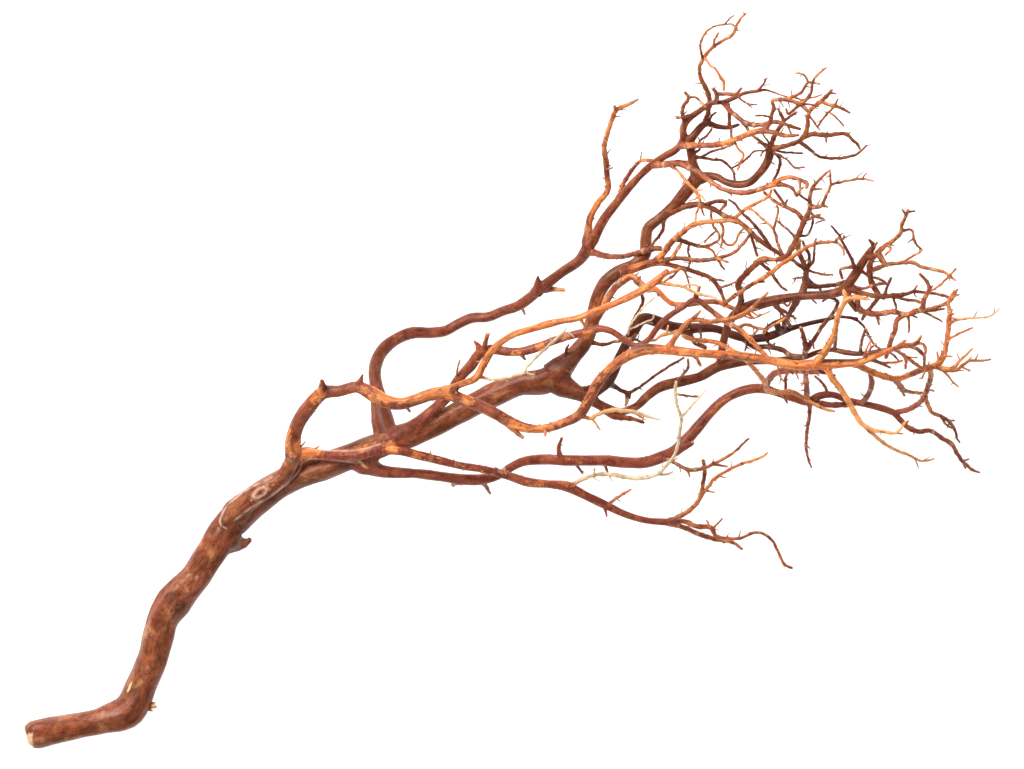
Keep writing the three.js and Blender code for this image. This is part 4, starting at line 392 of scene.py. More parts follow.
    ["", "rim_tip", [2.5, 1.8], [144], [961, 368, 970, 371]],
    ["", "rim_tip", [2, 1.6], [160], [967, 363, 971, 357]],
    ["", "rim_tip", [3, 2.5, 2, 1.8], [138], [942, 370, 948, 377, 953, 383, 958, 387]],
    ["", "rim", [2.5, 2.5, 2], [188], [947, 340, 958, 334, 972, 328]],
    ["rim_whip", "rim", [3, 3, 2.5, 2.5, 2, 2, 1.8], [186, 196, 204],
      [948, 325, 954, 321, 966, 319, 978, 318, 988, 317, 998, 309]],
    ["", "rim", [3, 1.8], [182], [938, 363, 936, 352]],
    ["", "rim", [3, 2], [180], [949, 316, 953, 314]],
    ["", "rim", [2.5, 2], [188], [949, 298, 958, 295]],
    # The under limb and what it carries into the shaded middle of the crown.
    ["under", "stem",
      [21, 17, 13, 10, 8, 8, 9, 11, 11, 10, 11, 11, 9, 7, 6, 6, 5, 5, 6, 5, 5, 4.5],
      [90, 78, 68, 60, 56, 60, 70, 82, 96],
      [550, 384, 570, 390, 587, 398, 603, 407, 620, 412, 636, 407, 648, 396, 661, 387, 680, 382, 700, 377,
       716, 368, 733, 363, 752, 361, 772, 361, 790, 359, 806, 357, 819, 352, 832, 350, 848, 353, 862, 354,
       876, 352, 890, 349]],
    ["", "under", [7, 6, 5.5, 4, 2.5], [78], [600, 411, 612, 416, 624, 418, 636, 420, 644, 423]],
    ["", "under", [3.5, 3, 3, 2.5], [84, 100], [676, 383, 682, 376, 688, 368, 688, 359]],
    ["", "under", [4, 3, 2.8, 3.2], [100, 116], [861, 354, 861, 346, 863, 337, 866, 329]],
    ["", "under", [3.5, 3.5, 3], [110], [835, 350, 836, 338, 835, 328]],
    ["under_fork", "under", [6, 6, 4.5, 4], [84, 96], [805, 357, 806, 348, 804, 338, 801, 328]],
    ["under_wave", "under_fork", [6, 4.5, 4, 4, 4, 3.5, 3, 2], [98, 112, 120, 122],
      [806, 350, 814, 340, 822, 327, 831, 316, 837, 306, 837, 301, 829, 298, 822, 302]],
    ["", "under_wave", [2.5, 2], [106], [813, 342, 814, 349]],
    ["vault", "under",
      [14, 13, 12, 11, 10, 10.5, 12, 12, 12, 12.5, 11, 9, 9, 9, 9, 8, 5.5, 5, 5, 4, 4],
      [82, 70, 62, 58, 56, 58, 64, 72, 80, 86],
      [580, 393, 596, 390, 608, 381, 616, 366, 624, 349, 633, 334, 643, 319, 655, 321, 668, 326, 684, 329,
       700, 328, 716, 329, 733, 335, 750, 339, 768, 337, 784, 331, 797, 327, 812, 323, 826, 320, 838, 317,
       858, 319]],
    ["vault_spur", "vault", [7, 5, 4, 3, 3, 3, 2.5], [64, 70, 78, 84],
      [606, 381, 617, 388, 628, 393, 640, 387, 655, 376, 670, 366, 684, 358]],
    ["vault_drop", "vault_spur", [5.5, 4, 3], [58, 56], [627, 393, 627, 399, 626, 406]],
    ["", "vault_spur", [3, 2], [60], [630, 391, 630, 399]],
    ["vault_wisp", "vault", [2.6, 2.2, 2, 1.8, 1.5], [92, 108],
     [624, 338, 629, 328, 636, 317, 644, 307, 655, 297]],
    ["", "vault_wisp", [2.2, 2, 1.8, 1.6], [98, 104], [628, 330, 638, 326, 646, 322, 653, 319, 654, 314]],
    ["", "vault", [3, 3, 3, 3.5, 3, 2.4, 2], [90, 112],
     [624, 345, 631, 325, 638, 312, 643, 302, 641, 292, 640, 284, 640, 277]],
    ["", "vault", [6, 5, 4.5], [48], [686, 328, 695, 342, 706, 348]],
    ["", "vault", [6, 6, 5, 5, 5, 5], [62, 72],
      [744, 337, 755, 347, 768, 347, 782, 350, 792, 356, 803, 357]],
    ["", "vault", [4, 3, 2], [52], [627, 342, 635, 340, 642, 342]],
    ["", "leader", [4.5, 3.5, 3, 3, 2.5], [96, 92],
     [594, 345, 604, 345, 612, 342.5, 622, 341, 630, 339, 636, 335]],
    ["", "leader", [4, 3, 2], [118], [562, 358, 566, 351, 568.5, 345]],
    ["", "leader", [4.5, 3, 2], [112], [560, 366, 565, 370, 571, 373]],
    # The right-hand limb that climbs from the under limb, and the crown above it.
    ["right", "under",
      [9, 8, 8, 9, 11, 12, 11, 9, 9, 9, 10, 10, 9, 7, 5, 3], [74, 92, 108, 118, 128, 138, 150, 164, 172],
      [720, 368, 722, 350, 726, 332, 732, 318, 742, 310, 756, 305, 772, 301, 788, 298, 806, 296, 824, 295,
       841, 291, 852, 279, 862, 263, 870, 251, 873, 246, 868, 240]],
    ["", "right", [8, 7, 5], [140, 128], [845, 290, 849, 300, 856, 311]],
    ["", "right", [4, 3.5, 3, 3], [104, 98], [758, 304, 768, 302, 776, 308, 784, 316]],
    ["", "vault", [4, 3.5, 3, 3, 2.5, 2], [76, 80, 92],
      [768, 337, 766, 329, 772, 324, 780, 320, 788, 317, 794, 316]],
    ["", "red_spur", [3, 2.5, 2.5, 2], [158, 152], [763, 334, 770, 327, 779, 322, 786, 318]],
    ["", "vault", [3, 2.5, 2], [70, 84], [700, 328, 701, 337, 697, 343]],
    ["", "right", [3, 2], [176], [872, 248, 877, 243]],
    ["gate_leg", "right", [8, 6.5, 4.5, 4, 4], [112, 98, 84],
     [798, 297, 794, 306, 789.5, 314, 787, 320, 791, 327]],
    ["", "right", [2.6, 2.4, 1.8], [136], [782, 311, 787, 306, 791, 302]],
    ["", "right", [2.4, 1.8], [120], [809, 297, 816, 304]],
    ["", "vault", [7, 7, 6], [80, 84], [781, 331, 778, 327, 776, 322]],
    ["", "vault", [5, 5, 4], [84, 90], [783, 330, 785, 322, 787, 316]],
    ["", "vault", [3.4, 2.6, 1.8], [88], [768, 350, 772, 347, 775, 343]],
    ["", "vault", [2.6, 2.4, 2], [84], [746, 340, 746.5, 346, 745, 351]],
    ["", "red_spur", [2.5, 2.2, 2], [150], [758, 329, 754, 334, 750, 338]],
    ["", "right", [6, 4, 3, 2.5], [108, 100], [772, 301, 780, 309, 788, 314, 796, 319]],
    ["mast", "right",
      [7, 6, 6.5, 7, 6, 6, 6, 4, 6, 6, 5.5, 5.5, 5, 4, 4, 3, 2.5, 2],
      [122, 134, 146, 158, 172, 186, 200, 214, 226],
      [738, 311, 741, 300, 740, 291, 738, 284, 744, 276, 753, 267, 761, 260, 774, 260, 785, 258, 791, 249,
       797, 237, 803, 223, 809, 210, 809, 201, 811, 190, 818, 181, 823, 176, 829, 171]],
    ["", "mast", [4, 3.5, 3.5, 3, 2.5, 2], [138, 132, 128],
      [758, 262, 765, 267, 771, 273, 777, 282, 782, 288, 787, 291]],
    ["mast_gate", "mast", [5, 4.5, 4, 3.5, 3, 2.5], [184, 176, 170],
      [803, 222, 796, 213, 786, 208, 776, 203, 768, 197, 763, 192]],
    ["", "mast_gate", [3.5, 3, 3, 3], [186, 192], [786, 208, 779, 198, 773, 190]],
    ["", "mast_gate", [2.5, 2], [188], [784, 206, 787, 200]],
    ["mast_net", "mast", [3, 3, 3, 3, 2.5, 2.5, 2], [150, 140, 150],
      [784, 258, 778, 246, 775, 234, 772, 228, 763, 220, 755, 213]],
    ["", "mast_net", [3, 2.5, 2.5, 2], [164], [773, 230, 776, 220, 778, 210, 776, 206]],
    ["", "mast", [3, 2.5, 2.5, 2], [170], [796, 239, 789, 232, 782, 226, 776, 221]],
    ["", "mast", [3, 2.5, 2.5, 2.5, 2.5, 2], [176, 186],
      [800, 238, 806, 236, 810, 230, 812, 223, 812, 214]],
    ["", "mast", [3, 3.5, 2], [210], [804, 222, 812, 218, 820, 215]],
    ["", "mast", [3, 2.5, 2], [212], [807, 202, 802, 198, 797, 194]],
    ["plume", "mast", [4, 4, 4, 3, 3, 3, 2.5, 2.5, 2.5, 2], [232, 242, 250, 256],
      [809, 208, 816, 208, 821, 206, 824, 199, 828, 190, 830, 186, 841, 183, 851, 181, 860, 180, 872, 182]],
    ["", "plume", [2.5, 2.5, 1.8], [262], [830, 187, 829, 179, 829, 173]],
    ["", "plume", [2, 1.6], [262], [860, 180, 865, 174]],
    ["", "mast", [2.5, 2.2, 1.8, 1.8, 1.5], [236],
     [808, 211, 813, 217, 819, 218, 823, 220, 820, 222, 814, 224]],
    ["", "plume", [3, 2], [228], [821, 206, 827, 208]],
    ["", "mast", [3, 2], [222], [811, 190, 821, 190]],
    ["keel", "right", [9, 7, 6, 5.5, 5, 5, 4.5], [122, 114, 112, 116, 122],
      [801, 294, 805, 283, 806, 274, 805, 267, 801, 258, 798, 248, 799, 240]],
    ["", "keel", [4, 4, 3], [138], [805, 270, 797, 264, 790, 258]],
    ["", "keel", [3.5, 3.5, 3.5, 3, 2.5], [128, 146], [806, 271, 809, 262, 809, 255, 805, 248, 802, 241]],
    ["", "keel", [3, 3, 2.5, 2], [126, 136], [807, 271, 813, 262, 814, 252, 815, 240]],
    ["", "keel", [3, 2.5, 2.5, 2], [104], [807, 270, 816, 273, 824, 275, 833, 275]],
    ["", "keel", [3, 2.5, 2], [98], [806, 278, 799, 278, 793, 279]],
    ["", "keel", [4, 3.5, 3, 2.5], [104], [806, 279, 813, 284, 818, 287, 821, 291]],
    ["", "keel", [6, 4.5, 4.5, 4.5, 4], [120, 134], [805, 285, 815, 287, 828, 286, 840, 284, 848, 281]],
    ["reed", "right", [5, 4.5, 3.5, 3, 3, 2.5, 2], [164, 180, 194],
      [853, 276, 854, 269, 852, 262, 847, 252, 842, 243, 837, 234, 830, 226]],
    ["", "reed", [3.5, 3, 3, 3], [150], [853, 267, 846, 268, 840, 270, 842, 279]],
    ["antler", "right", [6, 6, 5, 4.5, 4, 4, 3.5, 3.5, 3], [172, 184, 196, 206],
      [866, 257, 874, 256, 880, 250, 888, 244, 895, 239, 900, 233, 901, 225, 905, 217, 907, 210]],
    ["", "antler", [3, 2], [212], [905, 216, 901, 210]],
    ["", "antler", [7.5, 6.5, 5, 5], [172, 174], [876, 253, 880, 258, 883, 263, 887, 266]],
    ["", "antler", [2.5, 2], [200], [906, 213, 914, 212]],
    ["", "antler", [3, 2.5, 3, 2.5, 2], [190, 182], [901, 231, 911, 231, 913, 240, 916, 246, 921, 250]],
    ["", "antler", [3.5, 2.5, 2], [186], [887, 245, 890, 249, 884, 256]],
    ["yard", "right", [7, 5.5, 4.5, 5, 5, 4, 3.5, 3, 3, 3], [146, 138, 132, 128, 126],
      [845, 287, 857, 292, 868, 295, 880, 297, 892, 296, 903, 295, 914, 292, 925, 293, 940, 295, 949, 298]],
    ["", "yard", [3.5, 3, 3, 3], [120], [893, 296, 905, 300, 915, 301, 921, 303]],
    ["", "yard", [2.5, 2], [142], [913, 292, 917, 286]],
    ["", "yard", [4.5, 4, 4, 3], [118], [879, 297, 872, 306, 866, 313, 862, 320]],
    ["yard_post", "yard", [5, 6, 6, 6, 5.5, 5], [142, 152, 162],
      [880, 297, 875, 290, 871, 282, 869, 273, 870, 263, 874, 257]],
    ["lance", "yard_post", [5, 5, 4.5, 4, 4, 4, 3.5, 3.5, 3, 3, 2], [160, 172, 182, 190],
      [870, 271, 879, 268, 886, 265, 895, 264, 905, 263, 912, 263, 920, 267, 932, 270, 942, 272, 949, 277,
       955, 281]],
    ["", "lance", [2.5, 2.5, 2, 2], [186], [903, 263, 911, 257, 917, 254, 922, 250]],
    ["", "lance", [2.5, 2], [198], [948, 277, 955, 269]],
    ["", "lance", [2.5, 2.5, 2.5], [170], [948, 277, 940, 285, 931, 291]],
    ["", "right", [3.5, 3, 3, 3, 2.5], [150, 146], [848, 284, 862, 289, 872, 286, 882, 284, 887, 284]],
    ["", "right", [3.5, 3, 3, 3], [142], [858, 270, 870, 277, 878, 279, 885, 283]],
    ["", "yard", [3.5, 3, 3], [138], [884, 297, 887, 287, 891, 278]],
    ["frame_arm", "yard",
      [5, 5, 6, 6, 6, 5, 5, 6, 6, 5, 4.5, 4.5, 3.5, 3], [132, 128, 130, 138, 148, 158, 166],
      [857, 292, 857, 300, 859, 309, 866, 313, 880, 314, 893, 312, 906, 315, 915, 312, 922, 309, 923, 302,
       926, 295, 929, 289, 926, 282, 919, 274]],
    ["", "frame_arm", [4, 3.5, 3.5, 4, 3.5, 2], [156, 164],
      [920, 310, 930, 309, 940, 306, 947, 303, 951, 299, 957, 290]],
    ["", "frame_arm", [4, 3, 2], [146], [919, 311, 932, 311, 944, 309]],
    ["", "frame_arm", [2.5, 2.5, 2], [136], [920, 311, 933, 317, 942, 322]],
    ["", "frame_arm", [3, 2.5, 2], [128], [907, 315, 909, 325, 908, 333]],
    ["", "frame_arm", [5, 5, 5, 5, 4.5, 4], [126, 112, 104],
      [905, 315, 897, 320, 895, 330, 891, 340, 889, 348, 886, 358]],
    ["", "frame_arm", [4, 2], [116], [877, 314, 879, 325]],
    ["", "frame_arm", [2.5, 2], [160], [928, 291, 932, 286]],
    ["", "vault", [3, 2.5, 2.5, 3, 2.5, 2, 2], [84, 96, 112, 124],
      [852, 319, 859, 322, 865, 328, 869, 336, 873, 343, 878, 348, 881, 349]],
    ["", "under", [3, 2.5, 2, 1.8], [96, 104], [884, 349, 892, 354, 897, 359, 900, 362]],
    ["", "bright", [3.5, 3, 2.5, 2.5, 2.5], [222, 214, 204],
      [869, 357, 874, 362, 882, 363, 892, 363, 901, 361]],
    ["bright_join", "bright", [3, 3.5, 4, 3.5, 4], [216, 206, 198],
      [893, 350, 900, 354, 906, 358, 914, 364, 921, 369]],
    ["", "bright_join", [2.5, 3, 2.5], [206, 200], [901, 355, 905, 362, 904, 369]],
    ["", "bright", [3, 2.5, 2], [242, 250], [898, 347, 901, 343, 904, 342]],
    ["", "bright_join", [2, 1.6], [216], [906, 358, 916, 358]],
    ["", "rim", [2.5, 2, 1.6], [196, 204], [925, 369, 921, 378, 918, 379]],
    ["", "rim", [2.5, 1.8], [190], [944, 356, 951, 357]],
    ["", "rim_fall", [3, 2], [134], [927, 390, 934, 391]],
    ["", "rim", [2.5, 1.6], [192], [949, 318, 956, 319]],
    ["", "frame_arm", [2.5, 2], [126], [910, 317, 917, 318]],
    ["", "yard", [3, 2.5, 2.5, 2.5], [130, 138], [893, 297, 894, 302, 896, 308, 894, 313]],
    # The lower limb on the ground side, from the stem to the bottom right of the crown.
    ["lower", "stem",
      [20, 16, 13, 12, 10, 10, 11, 11, 9, 9, 10, 11, 11, 10, 11, 11, 12, 12, 12, 12, 11, 10, 10, 10, 10,
       10, 8, 9, 9, 8, 7, 7, 7, 7, 7],
      [66, 60, 54, 48, 44, 42, 42, 46, 52, 56, 58, 60, 62],
      [352, 457, 368, 465, 380, 471, 395, 473, 415, 474, 440, 477, 462, 480, 482, 480, 498, 476, 511, 468,
       524, 462, 545, 460, 565, 461, 585, 461, 605, 461, 625, 463, 645, 463, 661, 458, 677, 450, 689, 438,
       700, 425, 711, 412, 723, 401, 737, 393, 751, 389, 764, 389, 778, 393, 795, 398, 808, 402, 820, 396,
       833, 395, 850, 401, 868, 405, 884, 409, 897, 414]],
    ["", "lower", [8, 5], [56], [360, 461, 362, 470]],
    ["", "lower", [6, 4], [40], [455, 479, 453, 486]],
    ["", "lower", [6, 4, 2.5], [36], [480, 480, 486, 487, 490, 494]],
    ["", "lower", [5.5, 4, 3], [62], [560, 459, 559, 447, 562, 438]],
    ["", "lower", [4, 2], [30], [573, 460, 583, 474]],
    ["", "lower", [4, 2], [34], [604, 461, 608, 473]],
    ["", "lower", [5, 3.5, 2.5], [34], [677, 450, 686, 447, 693, 443]],
    ["low_spray", "lower", [4, 4, 3.5, 4, 4, 3.5, 3.5, 3, 2.5, 2.5, 2], [56, 66, 76, 86, 92],
      [656, 458, 668, 460, 678, 465, 688, 470, 697, 470, 705, 468, 712, 465, 724, 459, 735, 452, 742, 445,
       749, 439]],
    ["", "low_spray", [3, 2.5, 2], [72], [713, 464, 722, 466, 728, 467]],
    ["", "low_spray", [2.5, 1.8], [58], [688, 470, 690, 477]],
    ["", "lower", [7, 7, 6.5, 6, 6, 5.5, 5], [76, 98, 118, 134, 148],
      [764, 388, 769, 380, 776, 373, 787, 371, 800, 371, 815, 372, 826, 371]],
    ["", "lower", [6, 5.5, 5, 5], [82, 104, 120], [807, 401, 807, 390, 806, 378, 805, 368]],
    ["", "lower", [3.5, 3, 2.5], [84], [829, 395, 824, 385, 815, 376]],
    ["", "lower", [3, 3, 2.5], [78], [787, 396, 786, 378, 789, 372]],
    ["", "lower", [7, 5.5, 4.8], [52], [681, 449, 688, 446, 693, 443]],
    ["lower_link", "lower", [6, 5.5, 5.5, 5], [78, 90, 102], [862, 403, 869, 394, 872, 384, 870, 373]],
    ["lower_drop", "lower", [5, 4, 4, 3.5, 3.5, 2.5, 2], [44, 26, 12, 6],
      [810, 402, 810, 416, 808, 428, 807, 440, 807, 450, 809, 459, 812, 468]],
    ["", "lower_drop", [2.5, 1.6], [6], [807, 445, 811, 449]],
    ["", "lower", [3, 2], [46], [782, 395, 788, 403]],
    ["", "lower", [6, 6, 6, 5], [54, 50], [810, 402, 828, 405, 845, 405, 856, 404]],
    ["", "lower", [6, 5.5, 5.5, 5, 3], [76, 94, 106],
      [895, 412, 908, 410, 917, 405, 923, 399, 925, 392]],
    ["lower_end", "lower", [6, 5.5, 5, 5.5, 5, 4.5, 4.5, 5, 4, 4, 3.5, 3, 2], [58, 50, 40, 29, 17, 7],
      [894, 412, 901, 420, 905, 425, 913, 430, 921, 432, 931, 431, 942, 438, 953, 445, 958, 454, 963, 461,
       968, 466, 975, 471, 981, 473]],
    ["", "lower_end", [2.5, 2], [14], [963, 461, 970, 460]],
    ["", "lower_end", [3, 2], [8], [960, 457, 967, 469]],
    ["", "lower_end", [3, 2], [58], [905, 425, 909, 421]],
    # Broken stubs on the stem.
    ["stem_stub", "stem", [23, 20, 9, 4.5], [44, 48], [219, 533, 233, 541, 243, 543, 250, 540]],
    ["bend_stub", "stem", [13, 8, 3], [14, 16], [137, 697, 145, 704, 153, 708]],
]

# How much a limb shows of each look, from 0 to 1: ochre, where the dark bark has peeled to orange,
# shade, mostly painted shade: the deep maroon that darkens the limbs low in the crown, which lie in the
# shade of the limbs above, and on a few twigs their own dark colour, pale, dead wood bleached to cream
# or grey, and bands, the cracked rings round a limb. A limb that isn't listed takes after its parent.
LOOKS = {
    "stem": (0.05, 0.1, 0.0, 0.0),
    "stem_stub": (0.1, 0.35, 0.0, 0.0),
    "bend_stub": (0.8, 0.1, 0.3, 0.0),
    "high_grey": (0.5, 0.1, 0.9, 0.0),
    "leader": (0.12, 0.45, 0.0, 0.1),
    "side_stem": (0.12, 0.1, 0.0, 0.0),
    "ring": (0.42, 0.0, 0.0, 0.25),
    "bright": (0.6, 0.0, 0.0, 0.25),
    "high": (0.8, 0.0, 0.05, 0.1),
    "low": (0.36, 0.0, 0.0, 0.6),
    "low_hook": (0.6, 0.0, 0.0, 0.3),
    "low_foot": (0.5, 0.0, 0.0, 0.3),
    "low_tail": (0.45, 0.0, 0.0, 0.2),
    "low_cream": (0.9, 0.0, 0.78, 0.0),
    "low_fork": (0.8, 0.0, 0.25, 0.0),
    "upper": (0.12, 0.35, 0.0, 0.3),
    "upper_stub": (0.2, 0.25, 0.35, 0.0),
    "upper_left": (0.4, 0.0, 0.0, 0.2),
    "upper_top": (0.3, 0.1, 0.0, 0.2),
    "upper_sweep": (0.45, 0.0, 0.0, 0.2),
    "upper_cross": (0.45, 0.05, 0.0, 0.2),
    "amber": (0.9, 0.0, 0.4, 0.0),
    "hook": (0.6, 0.0, 0.1, 0.0),
    "dark_reach": (0.2, 0.4, 0.0, 0.0),
    "bough": (0.2, 0.5, 0.0, 0.1),
    "bough_end": (0.45, 0.1, 0.0, 0.1),
    "bough_low": (0.55, 0.0, 0.1, 0.0),
    "star": (0.7, 0.0, 0.1, 0.0),
    "arm": (0.2, 0.5, 0.0, 0.1),
    "arm_gold": (0.9, 0.0, 0.1, 0.0),
    "span": (0.35, 0.25, 0.0, 0.1),
    "span_arch": (0.6, 0.1, 0.05, 0.0),
    "span_mid": (0.65, 0.1, 0.1, 0.0),
    "wand": (0.25, 0.35, 0.0, 0.1),
    "crest": (0.45, 0.1, 0.1, 0.0),
    "red": (0.2, 0.0, 0.0, 0.3),
    "red_end": (0.45, 0.0, 0.0, 0.1),
    "bright_pale": (0.8, 0.0, 0.6, 0.0),
    "flame": (0.8, 0.0, 0.05, 0.1),
    "bright_fall": (0.7, 0.0, 0.35, 0.0),
    "torch": (1.0, 0.0, 0.38, 0.0),
    "comet": (0.85, 0.0, 0.35, 0.0),
    "high_web": (0.7, 0.0, 0.55, 0.0),
    "rim": (0.5, 0.0, 0.0, 0.1),
    "rim_fall": (0.4, 0.0, 0.0, 0.1),
    "rim_spray": (0.85, 0.0, 0.1, 0.0),
    "rim_tip": (0.95, 0.0, 0.35, 0.0),
    "rim_whip": (0.9, 0.0, 0.5, 0.0),
    "under": (0.1, 0.45, 0.0, 0.1),
    "vault": (0.05, 0.95, 0.0, 0.1),
    "vault_spur": (0.0, 0.85, 0.0, 0.0),
    "vault_drop": (0.7, 0.0, 0.7, 0.0),
    "vault_wisp": (0.6, 0.0, 0.95, 0.0),
    "low_link": (0.1, 0.8, 0.0, 0.0),
    "lower_link": (0.15, 0.5, 0.0, 0.1),
    "red_wisp": (0.9, 0.0, 0.5, 0.0),
    "span_slip": (0.8, 0.0, 0.45, 0.0),
    "gate_leg": (0.1, 0.6, 0.0, 0.0),
    "comet_tail": (0.9, 0.0, 0.5, 0.0),
    "under_fork": (0.1, 0.7, 0.0, 0.0),
    "right": (0.12, 0.3, 0.0, 0.1),
    "mast": (0.15, 0.55, 0.0, 0.0),
    "mast_gate": (0.4, 0.3, 0.0, 0.0),
    "mast_net": (0.6, 0.1, 0.1, 0.0),
    "plume": (0.55, 0.05, 0.12, 0.0),
    "keel": (0.15, 0.65, 0.0, 0.0),
    "antler": (0.45, 0.1, 0.0, 0.0),
    "yard": (0.2, 0.35, 0.0, 0.0),
    "lance": (0.6, 0.05, 0.2, 0.0),
    "frame_arm": (0.25, 0.25, 0.0, 0.0),
    "lower": (0.12, 0.05, 0.0, 0.35),
    "low_spray": (0.6, 0.0, 0.1, 0.1),
    "lower_end": (0.4, 0.05, 0.0, 0.1),
}

# Scars and knots on the upper side, by pixel: x, y, reach along and across the limb, how far the middle
# rises in mm, how pale the rim is, partly the scar's own cream and partly a painted highlight on a knot's
# top, and how dark the middle, partly its own colour and partly painted shade in its hollow.
SCARS = [
    (260, 493, 8.2, 4.0, -1.2, 0.95, 0.8), (228, 509, 6.0, 3.0, 0.4, 0.0, 0.3),
    (186, 581, 5.5, 4.0, 0.7, 0.1, 0.2), (196, 579, 1.7, 1.4, 0.7, 0.5, 0.0),
    (177, 606, 2.4, 3.6, -1.8, 0.1, 1.0), (171, 612, 4.0, 2.6, -0.9, 0.12, 0.8),
    (147, 671, 3.0, 2.2, 0.8, 0.1, 0.5), (154, 664, 5.0, 3.5, 0.7, 0.0, 0.0),
    (433, 421, 3.4, 2.6, 0.6, 0.12, 0.3), (292, 458, 5.0, 3.0, 0.5, 0.3, 0.0),
    (502, 471, 3.4, 2.6, -1.0, 0.5, 0.9), (240, 526, 5.0, 3.0, -0.8, 0.0, 0.8),
    (431, 458, 2.5, 3.0, 0.5, 0.2, 0.0), (457, 464, 2.0, 3.5, 0.4, 0.2, 0.0),
    (402, 406, 5.0, 3.0, 0.5, 0.0, 0.0),
]
# Chips where the bark is knocked off to the raw wood, by pixel: x, y, reach along and across the limb.
CHIPS = [
    (129, 687, 5.0, 1.1), (649, 312, 3.0, 0.8), (364, 466, 3.4, 1.4), (359, 462, 2.2, 1.2),
    (502, 470, 2.2, 1.2), (524, 434, 4.0, 1.2),
]
# Wide soft places, by pixel: x, y, reach along and across the limb, how much lighter on its upper side,
# how much more peeled. The lighter places are partly the bark's own blotches and partly painted
# highlights, such as the bright spots on the stem near its sawn end.
CLOUDS_AND_HIGHLIGHTS = [
    (62, 729, 16, 5, 0.8, 0), (104, 711, 16, 6, 0.5, 0), (80, 745, 22, 4, -0.3, 0),
    (38, 738, 8, 10, 0.25, 0), (121, 703, 9, 5, 0.5, 0), (134, 694, 8, 9, -0.6, 0),
    (118, 722, 14, 5, 0.15, 0), (146, 662, 8, 6, 0.5, 0), (158, 655, 9, 6, -0.5, 0),
    (142, 650, 8, 4, -0.4, 0), (157, 627, 14, 7, -0.15, 0), (149, 614, 16, 3, 0.45, 0),
    (172, 628, 18, 3, 0.2, 0), (169, 597, 8, 7, -0.6, 0), (184, 590, 7, 8, 0.2, 0.05),
    (178, 609, 6, 6, -0.8, 0), (193, 578, 7, 6, 0.35, 0.1), (206, 551, 14, 6, 0.2, 0),
    (199, 562, 6, 6, -0.3, 0), (222, 532, 6, 9, -0.6, 0), (238, 537, 9, 7, -0.65, 0),
    (230, 513, 12, 4, 0.35, 0), (252, 513, 22, 4, -0.5, 0), (281, 478, 10, 4, -0.3, -0.2),
    (298, 465, 6, 3, 0.5, 0), (290, 492, 20, 5, -0.1, 0), (316, 468, 16, 6, 0.45, 0.1),
    (345, 466, 8, 4, -0.35, 0), (377, 432, 14, 6, 0.2, 0.1), (396, 418, 14, 6, -0.45, 0),
    (440, 400, 30, 6, -0.1, 0), (462, 408, 12, 5, -0.4, 0), (330, 386, 20, 7, -0.2, -0.5),
    (300, 418, 16, 6, -0.3, -0.4), (303, 446, 8, 6, 0.4, 0.6), (312, 450, 8, 6, 0.3, 0.7),
    (392, 448, 3.6, 7, 0.4, 1.0), (418, 453, 3.6, 7, 0.35, 1.0), (318, 396, 9, 6, 0.1, 0.5),
    (340, 456, 16, 5, -0.1, -0.5), (378, 451, 6, 5, -0.3, -0.3), (405, 452, 5, 6, -0.2, -0.5),
    (440, 458, 10, 6, -0.1, -0.2), (395, 398, 24, 7, 0.3, 0.4), (455, 391, 8, 6, -0.4, -0.5),
    (480, 405, 10, 7, -0.3, -0.3), (498, 415, 10, 6, -0.3, -0.4), (520, 430, 9, 6, 0.4, 0.7),
    (560, 434, 18, 6, -0.2, -0.5), (590, 410, 14, 6, -0.1, -0.4), (437, 392, 16, 4, 0.3, 0.4),
    (376, 380, 16, 8, -0.1, 0), (380, 345, 14, 8, -0.1, 0), (470, 401, 5, 5, 0.3, 0.6),
    (541, 428, 5, 5, 0.3, 0.7), (288, 478, 8, 4, -0.4, 0), (243, 508, 7, 5, 0.25, 0.3),
    (233, 519, 6, 4, -0.45, 0), (275, 484, 6, 4, 0.2, 0.25), (164, 640, 14, 8, -0.15, 0),
    (560, 362, 4, 9, -0.5, 0), (546, 384, 8, 6, -0.45, 0), (516, 355, 6, 4, 0.2, 0.8),
    (540, 347, 5, 5, 0.2, 0.9), (566, 337, 5, 5, 0.2, 0.8), (587, 334, 8, 4, 0.2, 0.6),
    (530, 330, 34, 8, 0.3, 0.3), (600, 311, 40, 8, 0.4, 0.3), (652, 284, 20, 9, 0.35, 0.3),
    (680, 352, 34, 8, 0.35, 0.3), (795, 366, 30, 9, 0.2, 0.2), (850, 366, 24, 4, 0.4, 0.6),
    (845, 360, 22, 3, -0.7, -0.8), (885, 352, 16, 6, 0.3, 0.4), (330, 455, 16, 6, 0.1, -0.3),
    (560, 460, 40, 9, 0.15, 0), (640, 463, 30, 9, 0.2, 0), (470, 479, 24, 8, 0.15, 0),
    (440, 325, 50, 12, -0.15, 0), (560, 265, 44, 12, -0.2, 0), (740, 395, 40, 10, 0.2, 0),
    (420, 400, 50, 9, -0.15, 0), (560, 430, 40, 9, -0.15, 0),
]
# Places where thin bark is worn to tan, by pixel: x, y, reach along and across, how much.
WORN = [
    (235, 508, 11, 6, 0.32), (256, 494, 11, 5, 0.34), (269, 482, 7, 4, 0.3), (295, 461, 7, 6, 0.3),
    (318, 470, 18, 6, 0.3), (298, 484, 12, 5, 0.25), (377, 436, 14, 7, 0.25), (222, 519, 4, 7, 0.25),
    (431, 423, 6, 5, 0.25), (196, 573, 8, 6, 0.2),
]
